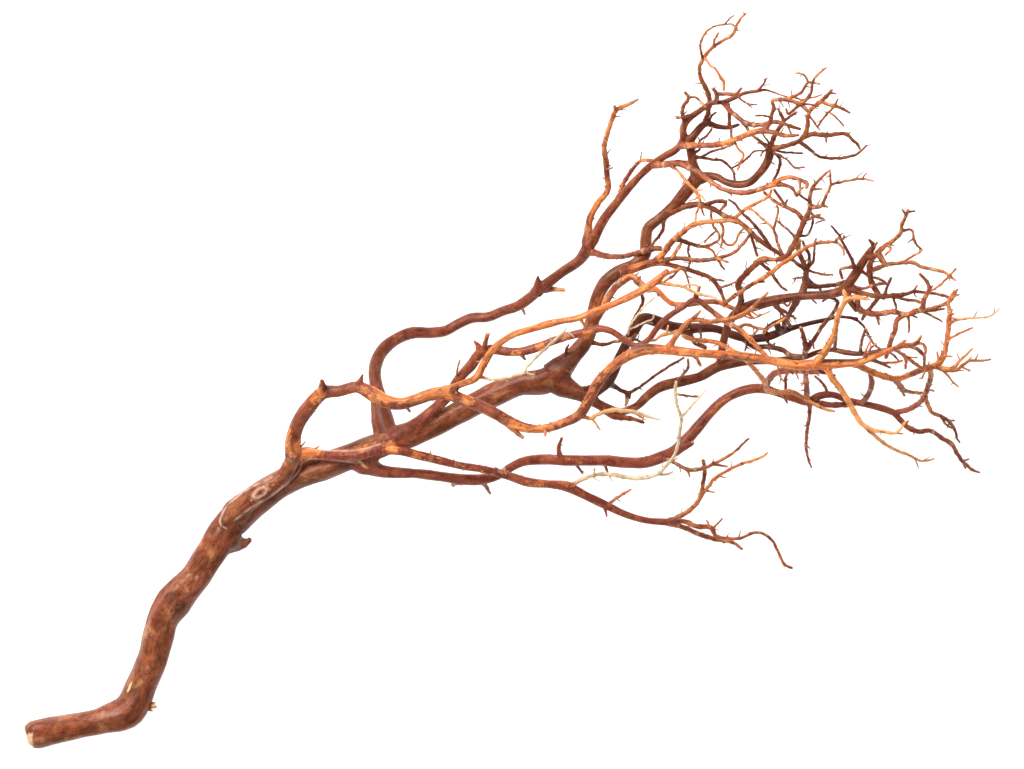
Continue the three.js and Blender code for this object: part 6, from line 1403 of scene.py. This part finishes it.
# Within this many radii of a limb's middle line, a pixel is on the limb.
SNAG_ON_LIMB = 1.2
SNAG_LOOKS = (0.9, 0.1, 0.35, 0.4, -0.3)
SNAG_GRAIN_MM = 40.0


def snags(limb_map, collection):
    """Torn ends and splinters, each from a place on top of the limb that lies under its pixel."""
    for number, (x0, y0, x1, y1, girth, lift) in enumerate(SNAGS):
        start = np.array([x0 - ORIGIN_PX[0], ORIGIN_PX[1] - y0])
        end = np.array([x1 - ORIGIN_PX[0], ORIGIN_PX[1] - y1])
        apart = np.hypot(*(limb_map.middle[:, :2] - start).T)
        outside = np.maximum(apart / limb_map.radius, SNAG_ON_LIMB)
        on = np.flatnonzero(outside == outside.min())
        i = on[np.argmax(limb_map.middle[on, 2])]
        rise = math.sqrt(max(limb_map.radius[i] ** 2 - apart[i] ** 2, 0.01))
        share = 1 if lift > SNAG_STANDS else SNAG_LYING_SHARE
        z = limb_map.middle[i, 2] + max(rise - girth, 0) * share
        length = np.hypot(*(end - start))
        root = np.array([*start, z])
        tip = np.array([*end, z + girth + length * lift * SNAG_RISE])
        heading = unit(tip - root)
        wide = unit(np.cross(heading, (0, 0, 1)))
        middle = [root * (1 - share) + tip * share for share in SNAG_SHARES]
        halves = [girth * taper for taper in SNAG_TAPER]
        strip(f"snag_{number}", middle, wide, np.cross(heading, wide), halves,
              [half * SNAG_FLATNESS for half in halves], SNAG_LOOKS, number * SNAG_GRAIN_MM, collection)


# Curled flakes of bark that stand off the limbs: how many, and over which share of the limb.
FLAKES = {
    "ring": (16, 0.15, 1.0),
    "bright": (52, 0.0, 0.9),
    "low": (26, 0.05, 0.7),
    "high": (14, 0.1, 0.8),
    "lower": (8, 0.1, 0.9),
    "side_stem": (6, 0.3, 0.9),
    "torch": (7, 0.1, 0.9),
    "rim": (10, 0.1, 0.9),
    "red": (10, 0.3, 0.8),
}
# The frill of torn bark inside the ring: on which limb, over which share of it, and how many.
FRILL = ("ring", 0.02, 0.36, 13)
FRILL_TURN = 0.5
FLAKE_LENGTH_PX = (1.8, 4.2)
FLAKE_SLANT = 0.6
FLAKE_BURIED_PX = 0.35
# How strongly a flake curls. Its middle points are these shares out along it, and so far off the wood.
FLAKE_CURL = (0.25, 0.8)
FLAKE_SHARES = (0.0, 0.4, 0.75, 1.0)
FLAKE_LIFTS = (0.0, 0.25, 0.75, 1.3)
FLAKE_HALF_WIDTH_PX = (0.6, 1.4)
FLAKE_TAPER = (1.0, 1.1, 0.8, 0.35)
FLAKE_HALF_DEPTHS_PX = (0.28, 0.24, 0.2, 0.14)
FLAKE_BARE = 0.7
FLAKE_BARE_CHANCE = 0.35
FLAKE_TONE = (-0.5, 0.4)


def flake(limb, i, turn, draw, name, collection):
    """A flake on the skin of a limb at sample i, turned round the limb by an angle."""
    out = limb.outward(i, turn)
    around = np.cross(limb.along[i], out)
    heading = unit(limb.along[i] * draw.choice((-1, 1)) + around * draw.uniform(-FLAKE_SLANT, FLAKE_SLANT))
    length = draw.uniform(*FLAKE_LENGTH_PX)
    root = limb.line[i] + out * (limb.girth[i] / 2 - FLAKE_BURIED_PX)
    curl = draw.uniform(*FLAKE_CURL)
    middle = [
        root + heading * length * share + out * length * curl * lift
        for share, lift in zip(FLAKE_SHARES, FLAKE_LIFTS)
    ]
    half = draw.uniform(*FLAKE_HALF_WIDTH_PX)
    bare = FLAKE_BARE * (draw.random() < FLAKE_BARE_CHANCE)
    looks = (1.0, 0.0, 0.0, bare, draw.uniform(*FLAKE_TONE))
    strip(name, middle, np.cross(out, heading), out, [half * taper for taper in FLAKE_TAPER],
          FLAKE_HALF_DEPTHS_PX, looks, limb.run[i] * MM_PER_PX, collection)


def flakes(limbs, collection):
    """The flakes of every peeling limb, and the frill, which faces inward."""
    named = {limb.name: limb for limb in limbs if limb.name}
    draw = random.Random(SEED)
    for name, (count, first, last) in FLAKES.items():
        limb = named[name]
        for number in range(count):
            i = limb.sample_at(draw.uniform(first, last) * limb.length_run[-1])
            flake(limb, i, draw.uniform(0, 2 * math.pi), draw, f"flake_{name}_{number}", collection)
    name, first, last, count = FRILL
    limb = named[name]
    for number in range(count):
        i = limb.sample_at(draw.uniform(first, last) * limb.length_run[-1])
        inward = 0 if limb.sideways[i][0] > 0 else math.pi
        turn = draw.uniform(-FRILL_TURN, FRILL_TURN) + inward
        flake(limb, i, turn, draw, f"frill_{number}", collection)


# A vertex whose known is less than this was made by a union and has nothing of its own to tell.
KNOWN = 0.99
SEAM_ROUNDS = 4


def settle_seams(mesh):
    """Gives each vertex that a union made along its seams what a neighbour knows."""
    tables = {name: read_attribute(mesh, name) for name in (*LOOK_NAMES, "grain")}
    ends = edge_table(mesh)
    for _ in range(SEAM_ROUNDS):
        known = tables["known"] > KNOWN
        for a, b in (ends, ends[::-1]):
            give = known[a] & ~known[b]
            for table in tables.values():
                table[b[give]] = table[a[give]]
    for name, table in tables.items():
        write_attribute(mesh, name, table)


def drop_loose_bits(mesh):
    """Removes flakes and spurs that touch nothing, so that the branch is one piece."""
    a, b = edge_table(mesh)
    label = np.arange(len(mesh.vertices))
    settled = False
    while not settled:
        lowest = np.minimum(label[a], label[b])
        lower = label.copy()
        np.minimum.at(lower, a, lowest)
        np.minimum.at(lower, b, lowest)
        lower = lower[lower]
        settled = (lower == label).all()
        label = lower
    main = np.bincount(label).argmax()
    work = bmesh.new()
    work.from_mesh(mesh)
    work.verts.ensure_lookup_table()
    loose = [work.verts[i] for i in np.flatnonzero(label != main)]
    bmesh.ops.delete(work, geom=loose, context="VERTS")
    work.to_mesh(mesh)
    work.free()


GROUND_DEPTH = 0.2
SQUARE = ((-1, -1), (1, -1), (1, 1), (-1, 1))


def cut_at_ground(wood):
    """No wood reaches below the ground that it lies on."""
    corners = [(x * BRANCH_LENGTH, y * BRANCH_LENGTH, z) for z in (-GROUND_DEPTH, 0) for x, y in SQUARE]
    sides = [(0, 3, 2, 1), (4, 5, 6, 7), *((i, (i + 1) % 4, (i + 1) % 4 + 4, i + 4) for i in range(4))]
    ground = mesh_object("ground", corners, sides)
    cut = wood.modifiers.new("ground", "BOOLEAN")
    cut.operation = "DIFFERENCE"
    cut.solver = "MANIFOLD"
    cut.object = ground
    apply_modifiers(wood)
    bpy.data.meshes.remove(ground.data)


def grow_branch():
    """The whole branch as one closed mesh that lies on the ground."""
    limbs = grow_limbs()
    thick = [limb for limb in limbs if limb.mean_girth >= THICK_GIRTH_PX]
    limb_map = LimbMap(thick)
    wood = thick_wood(thick, limb_map)
    twigs = bpy.data.collections.new("twigs")
    bpy.context.scene.collection.children.link(twigs)
    for limb in limbs:
        if limb.mean_girth < THICK_GIRTH_PX:
            twig(limb, twigs)
            spurs(limb, twigs)
    flakes(limbs, twigs)
    snags(limb_map, twigs)
    union = wood.modifiers.new("union", "BOOLEAN")
    union.operation = "UNION"
    union.solver = "MANIFOLD"
    union.operand_type = "COLLECTION"
    union.collection = twigs
    apply_modifiers(wood)
    for piece in list(twigs.objects):
        bpy.data.meshes.remove(piece.data)
    bpy.data.collections.remove(twigs)
    cut_at_ground(wood)
    drop_loose_bits(wood.data)
    settle_seams(wood.data)
    wood.data.shade_smooth()
    return wood


# The curve of a screen, by which the value of a colour, 0 to 255, stands for light.
SCREEN_LOW = 10
SCREEN_LOW_SLOPE = 12.92
SCREEN_OFFSET = 0.055
SCREEN_POWER = 2.4


def linear(*colour):
    """A colour read from a screen, 0 to 255, as the light that it stands for."""
    light = []
    for c in colour:
        curve = ((c / 255 + SCREEN_OFFSET) / (1 + SCREEN_OFFSET)) ** SCREEN_POWER
        light.append(c / 255 / SCREEN_LOW_SLOPE if c <= SCREEN_LOW else curve)
    return (*light, 1)


class Nodes:
    """Short calls for one material's nodes. An input that is a plain value is set on the node's socket."""

    def __init__(self, material):
        self.tree = material.node_tree

    def put(self, socket, value):
        """Links a value that comes from a node, and sets any other."""
        if isinstance(value, bpy.types.NodeSocket):
            self.tree.links.new(value, socket)
        else:
            socket.default_value = value

    def add(self, kind, inputs=None, **settings):
        node = self.tree.nodes.new(kind)
        for key, value in settings.items():
            setattr(node, key, value)
        for key, value in (inputs or {}).items():
            self.put(node.inputs[key], value)
        return node

    def attribute(self, name, output="Fac"):
        return self.add("ShaderNodeAttribute", attribute_name=name).outputs[output]

    def math(self, operation, a, b=0.0, clamp=False):
        return self.add("ShaderNodeMath", {0: a, 1: b}, operation=operation, use_clamp=clamp).outputs[0]

    def times(self, a, b):
        return self.math("MULTIPLY", a, b)

    def plus(self, a, b):
        return self.math("ADD", a, b)

    def minus(self, a, b):
        return self.math("SUBTRACT", a, b)

    def noise(self, vector, stretch, detail, roughness=0.5, distortion=0.0):
        """Noise from 0 to 1 over a vector that is stretched first."""
        place = self.add("ShaderNodeVectorMath", {0: vector, 1: stretch}, operation="MULTIPLY").outputs[0]
        shape = {"Scale": 1.0, "Detail": detail, "Roughness": roughness, "Distortion": distortion}
        return self.add("ShaderNodeTexNoise", {"Vector": place, **shape}).outputs["Fac"]

    def step(self, value, low, high):
        """A smooth step of a value from 0 at low to 1 at high."""
        limits = {"From Min": low, "From Max": high, "To Min": 0.0, "To Max": 1.0}
        node = self.add("ShaderNodeMapRange", {"Value": value, **limits}, interpolation_type="SMOOTHSTEP")
        return node.outputs["Result"]

    def mix(self, share, a, b):
        node = self.add("ShaderNodeMix", data_type="RGBA", blend_type="MIX")
        # These are its factor and its two colours. It has others of the same names for other types.
        for number, value in ((0, share), (6, a), (7, b)):
            self.put(node.inputs[number], value)
        return node.outputs[2]

    def layer(self, under, value, low, high, most, over):
        """Lays one colour over another as a value goes from low to high, up to the share most."""
        return self.mix(self.times(self.step(value, low, high), most), under, over)


# Colours as the photograph shows them.
BARK_DEEP = linear(72, 30, 16)
BARK_DARK = linear(112, 52, 29)
BARK_RED = linear(166, 89, 56)
BARK_TAN = linear(212, 145, 98)
YOUNG_DARK = linear(118, 46, 36)
YOUNG_RED = linear(170, 83, 67)
OLIVE = linear(150, 104, 62)
PEELED = linear(202, 98, 46)
PEELED_LIGHT = linear(238, 159, 92)
SHADE_MAROON = linear(62, 24, 11)
WORN_BROWN = linear(140, 84, 46)
WORN_TAN = linear(182, 124, 66)
GOLD = linear(232, 168, 104)
CREAM = linear(250, 228, 190)
DEAD_GREY = linear(218, 188, 150)
LIP_CREAM_HIGHLIGHT = linear(238, 190, 162)

# The noises that lead the bark: how often each comes to the mm of grain, along the limb and across,
# and then its detail, roughness and distortion.
NOISES = {
    "streak": ((0.05, 0.5, 0.5), 3.0, 0.6, 0.0),
    "fine": ((0.3, 1.7, 1.7), 3.0, 0.65, 0.0),
    "cloud": ((0.09, 0.14, 0.14), 5.0, 0.62, 0.8),
    "tint": ((0.05, 0.08, 0.08), 5.0, 0.6, 0.7),
    "big": ((0.032, 0.065, 0.065), 3.0, 0.55, 0.4),
    "ragged": ((0.15, 0.32, 0.32), 5.0, 0.68, 0.5),
}
# Layers of colour, each over the ones before it: the noise that leads it, the values of that noise
# where it starts and where it is full, its share where it is full, and its colour.
BARK_LAYERS = [
    ("tint", 0.50, 0.72, 0.75, BARK_TAN),
    ("tint", 0.47, 0.28, 0.75, BARK_DEEP),
    ("big", 0.46, 0.30, 0.5, OLIVE),
    ("streak", 0.50, 0.34, 0.4, BARK_DEEP),
    # Thin dark scales of old bark still cling here and there.
    ("ragged", 0.555, 0.575, 0.4, BARK_DEEP),
]
PEELED_LAYERS = [
    ("cloud", 0.54, 0.38, 0.7, BARK_RED),
    ("ragged", 0.46, 0.36, 0.65, BARK_DARK),
]
# Two colours that one noise mixes: the noise, its values at the first and the second, and the two.
BARK_PAIR = ("cloud", 0.24, 0.70, BARK_DARK, BARK_RED)
YOUNG_PAIR = ("cloud", 0.32, 0.66, YOUNG_DARK, YOUNG_RED)
PEELED_PAIR = ("streak", 0.36, 0.66, PEELED, PEELED_LIGHT)
SHADE_PAIR = ("cloud", 0.4, 0.7, SHADE_MAROON, BARK_DARK)
WORN_PAIR = ("cloud", 0.36, 0.62, WORN_BROWN, WORN_TAN)
DEAD_PAIR = ("cloud", 0.42, 0.6, DEAD_GREY, CREAM)
RAW_PAIR = ("fine", 0.58, 0.42, CREAM, PEELED_LIGHT)
# The young skin is full at this much of the look bands.
YOUNG_BANDS = (0.0, 0.5)
YOUNG_SHARE = 0.65
# Peeled patches are where a mix of these two noises is over a bar, which the look ochre lowers.
PATCH_SHARES = {"big": 0.66, "ragged": 0.34}
BAR = 0.69
BAR_DROP = 0.36
PEELED_STEP = (-0.008, 0.016)
EDGE_RISE = (-0.016, 0.0)
EDGE_FALL = (0.022, 0.0)
EDGE_SHARE = 0.3
# Rings: how far noise moves them along the limb, in mm, how close they are, and which of them show.
RING_UNEVEN_PER_MM = 0.06
RING_UNEVEN_MM = 45.0
RING_WAVER_MM = 3.5
RING_PER_MM = 1.15
RING_CLOUD = 2.4
RING_STEP = (0.55, 0.9)
RING_CLUSTERS = (0.36, 0.56)
RING_SHARE = 0.6
RING_LIGHT = 0.25
SHADE_SHARE = 0.85
# Where pale wood shows through, and how pale the look has to be for tan, for gold and for grey.
PALE_RAGGED = 0.3
PALE_STEP = (0.55, 0.60)
PALE_SHARE = 1.5
TAN_TO_GOLD = (0.34, 0.5)
GOLD_TO_DEAD = (0.62, 0.9)
PORES = ("fine", 0.50, 0.36, 0.25, BARK_DEEP)
LIP_SHARE = 0.8
# What raises the bark for its bump, and how strong the bump is.
BUMP_SHARES = {"streak": 0.35, "fine": 0.25, "ragged": 0.5}
BUMP_PEELED = 0.35
BUMP_RING = 0.3
BUMP_STRENGTH = 0.7
BUMP_DISTANCE = 0.0006
ROUGHNESS = 0.35
ROUGHNESS_GAIN = 0.12
SPECULAR = 0.25


def bark_material():
    """Satin red-brown bark that peels to orange, with dead and broken wood where an attribute says so."""
    material = bpy.data.materials.new("bark")
    material.use_nodes = True
    n = Nodes(material)
    n.tree.nodes.clear()
    grain = n.attribute("grain", "Vector")
    ochre, shade, pale, bands, bare, lip, tone = (n.attribute(name) for name in LOOK_NAMES[:7])
    noises = {name: n.noise(grain, *settings) for name, settings in NOISES.items()}
    big, cloud, ragged = (noises[name] for name in ("big", "cloud", "ragged"))

    def pair(name, low, high, first, second):
        """Two colours that a noise mixes."""
        return n.mix(n.step(noises[name], low, high), first, second)

    def layers(colour, rows):
        """A colour with further ones laid over it where noises say so."""
        for name, low, high, most, over in rows:
            colour = n.layer(colour, noises[name], low, high, most, over)
        return colour

    def shares(rows):
        """The sum of shares of noises."""
        parts = [n.times(noises[name], share) for name, share in rows.items()]
        total = parts[0]
        for part in parts[1:]:
            total = n.plus(total, part)
        return total

    colour = layers(pair(*BARK_PAIR), BARK_LAYERS)
    # Young limbs that crack in rings have a redder, smoother skin.
    colour = n.layer(colour, bands, *YOUNG_BANDS, YOUNG_SHARE, pair(*YOUNG_PAIR))

    # Peeled patches grow with the limb's ochre: a low bar leaves few islands of bark.
    over = n.minus(shares(PATCH_SHARES), n.minus(BAR, n.times(ochre, BAR_DROP)))
    peeled = n.step(over, *PEELED_STEP)
    edge = n.times(n.step(over, *EDGE_RISE), n.step(over, *EDGE_FALL))
    colour = n.mix(peeled, colour, layers(pair(*PEELED_PAIR), PEELED_LAYERS))
    colour = n.mix(n.times(edge, EDGE_SHARE), colour, PEELED_LIGHT)

    # Cracked rings round a limb, in clusters.
    run = n.add("ShaderNodeSeparateXYZ", {0: grain}).outputs[0]
    uneven = n.times(n.noise(grain, (RING_UNEVEN_PER_MM, 0.0, 0.0), 1.0), RING_UNEVEN_MM)
    moved = n.plus(n.plus(run, uneven), n.times(ragged, RING_WAVER_MM))
    ripple = n.math("SINE", n.times(moved, RING_PER_MM))
    ring_height = n.plus(ripple, n.times(n.minus(cloud, 0.5), RING_CLOUD))
    ring = n.times(n.times(n.step(ring_height, *RING_STEP), bands), n.step(big, *RING_CLUSTERS))
    colour = n.mix(n.times(ring, RING_SHARE), colour, n.mix(RING_LIGHT, PEELED, PEELED_LIGHT))

    # Painted shade: deep maroon over the limbs low in the crown, in the creases beside the lips and in the
    # scar hollows.
    colour = n.mix(n.times(shade, SHADE_SHARE), colour, pair(*SHADE_PAIR))
    # A little paleness is bark worn to tan, and much of it is dead wood.
    covered = n.step(n.plus(ragged, n.times(pale, PALE_RAGGED)), *PALE_STEP)
    dead = n.times(n.math("MULTIPLY", pale, PALE_SHARE, clamp=True), covered)
    gold = n.mix(n.step(pale, *GOLD_TO_DEAD), GOLD, pair(*DEAD_PAIR))
    bleached = n.mix(n.step(pale, *TAN_TO_GOLD), pair(*WORN_PAIR), gold)
    colour = layers(n.mix(dead, colour, bleached), [PORES])
    # Tone doubles or halves the light that the bark gives back. On the thick limbs it holds painted
    # highlights as well as the bark's own lighter and darker places.
    gain = n.math("POWER", 2.0, tone)
    colour = n.add("ShaderNodeVectorMath", {0: colour, "Scale": gain}, operation="SCALE").outputs[0]
    # Pale lips and scar rims, partly their own cream and partly painted highlights.
    colour = n.mix(n.times(lip, LIP_SHARE), colour, LIP_CREAM_HIGHLIGHT)
    colour = n.mix(bare, colour, pair(*RAW_PAIR))

    height = n.minus(shares(BUMP_SHARES), n.times(peeled, BUMP_PEELED))
    height = n.plus(height, n.times(ring, BUMP_RING))
    bump_inputs = {"Strength": BUMP_STRENGTH, "Distance": BUMP_DISTANCE, "Height": height}
    bump = n.add("ShaderNodeBump", bump_inputs).outputs[0]
    roughness = n.plus(ROUGHNESS, n.times(n.plus(dead, peeled), ROUGHNESS_GAIN))
    surface = {"Base Color": colour, "Roughness": roughness, "Normal": bump, "Specular IOR Level": SPECULAR}
    shader = n.add("ShaderNodeBsdfPrincipled", surface)
    n.add("ShaderNodeOutputMaterial", {"Surface": shader.outputs[0]})
    return material


# A lit table, as white as the photograph's ground.
FLOOR_LOOK = {
    "Base Color": (0.5, 0.5, 0.5, 1),
    "Roughness": 0.9,
    "Specular IOR Level": 0.1,
    "Emission Color": (1, 1, 1, 1),
    "Emission Strength": 0.92,
}
FLOOR_HALF = 12.0
FLOOR_GAP = 0.0003
WHITE = (1, 1, 1, 1)
WORLD_STRENGTH = 0.33
# Each light's name, place, size in metres and power in watts.
LIGHTS = [
    ("key", (-1.6, 1.5, 2.4), 1.6, 128.0),
    ("fill", (1.8, 0.4, 2.2), 2.0, 12.0),
]


def floor_material():
    """The plain white of the table."""
    material = bpy.data.materials.new("floor")
    material.use_nodes = True
    shader = material.node_tree.nodes["Principled BSDF"]
    for socket, value in FLOOR_LOOK.items():
        shader.inputs[socket].default_value = value
    return material


def stage():
    """A white floor and surroundings, one large soft light from the upper left and a weak fill."""
    corners = [(x * FLOOR_HALF, y * FLOOR_HALF, -FLOOR_GAP) for x, y in SQUARE]
    floor = mesh_object("floor", corners, [(0, 1, 2, 3)])
    floor.data.materials.append(floor_material())

    world = bpy.data.worlds.new("studio")
    world.use_nodes = True
    background = world.node_tree.nodes["Background"]
    background.inputs["Color"].default_value = WHITE
    background.inputs["Strength"].default_value = WORLD_STRENGTH
    bpy.context.scene.world = world

    for name, place, size, energy in LIGHTS:
        light = bpy.data.lights.new(name, "AREA")
        light.size = size
        light.energy = energy
        lamp = bpy.data.objects.new(name, light)
        lamp.location = place
        lamp.rotation_euler = (-Vector(place)).to_track_quat("-Z", "Y").to_euler()
        lamp.visible_camera = False
        bpy.context.scene.collection.objects.link(lamp)


def look_down():
    """The photograph's view: straight down, from so far that limbs at all heights keep their places."""
    data = bpy.data.cameras.new("camera")
    data.sensor_width = CAMERA_SENSOR_MM
    data.lens = CAMERA_SENSOR_MM * (CAMERA_HEIGHT - CROWN_MID_HEIGHT) / (PHOTO_SIZE_PX[0] * M_PER_PX)
    data.clip_end = 3 * CAMERA_HEIGHT
    camera = bpy.data.objects.new("camera", data)
    middle_x, middle_y = PHOTO_SIZE_PX[0] / 2, PHOTO_SIZE_PX[1] / 2
    camera.location = (
        (middle_x - ORIGIN_PX[0]) * M_PER_PX,
        (ORIGIN_PX[1] - middle_y - READING_SHIFT_PX) * M_PER_PX,
        CAMERA_HEIGHT,
    )
    bpy.context.scene.collection.objects.link(camera)
    bpy.context.scene.camera = camera


branch = grow_branch()
branch.name = "driftwood"
branch.data.materials.clear()
branch.data.materials.append(bark_material())
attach(branch, "root")
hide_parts("driftwood_branch")
stage()
look_down()
view = bpy.context.scene.view_settings
view.view_transform = "Standard"
view.look = "None"
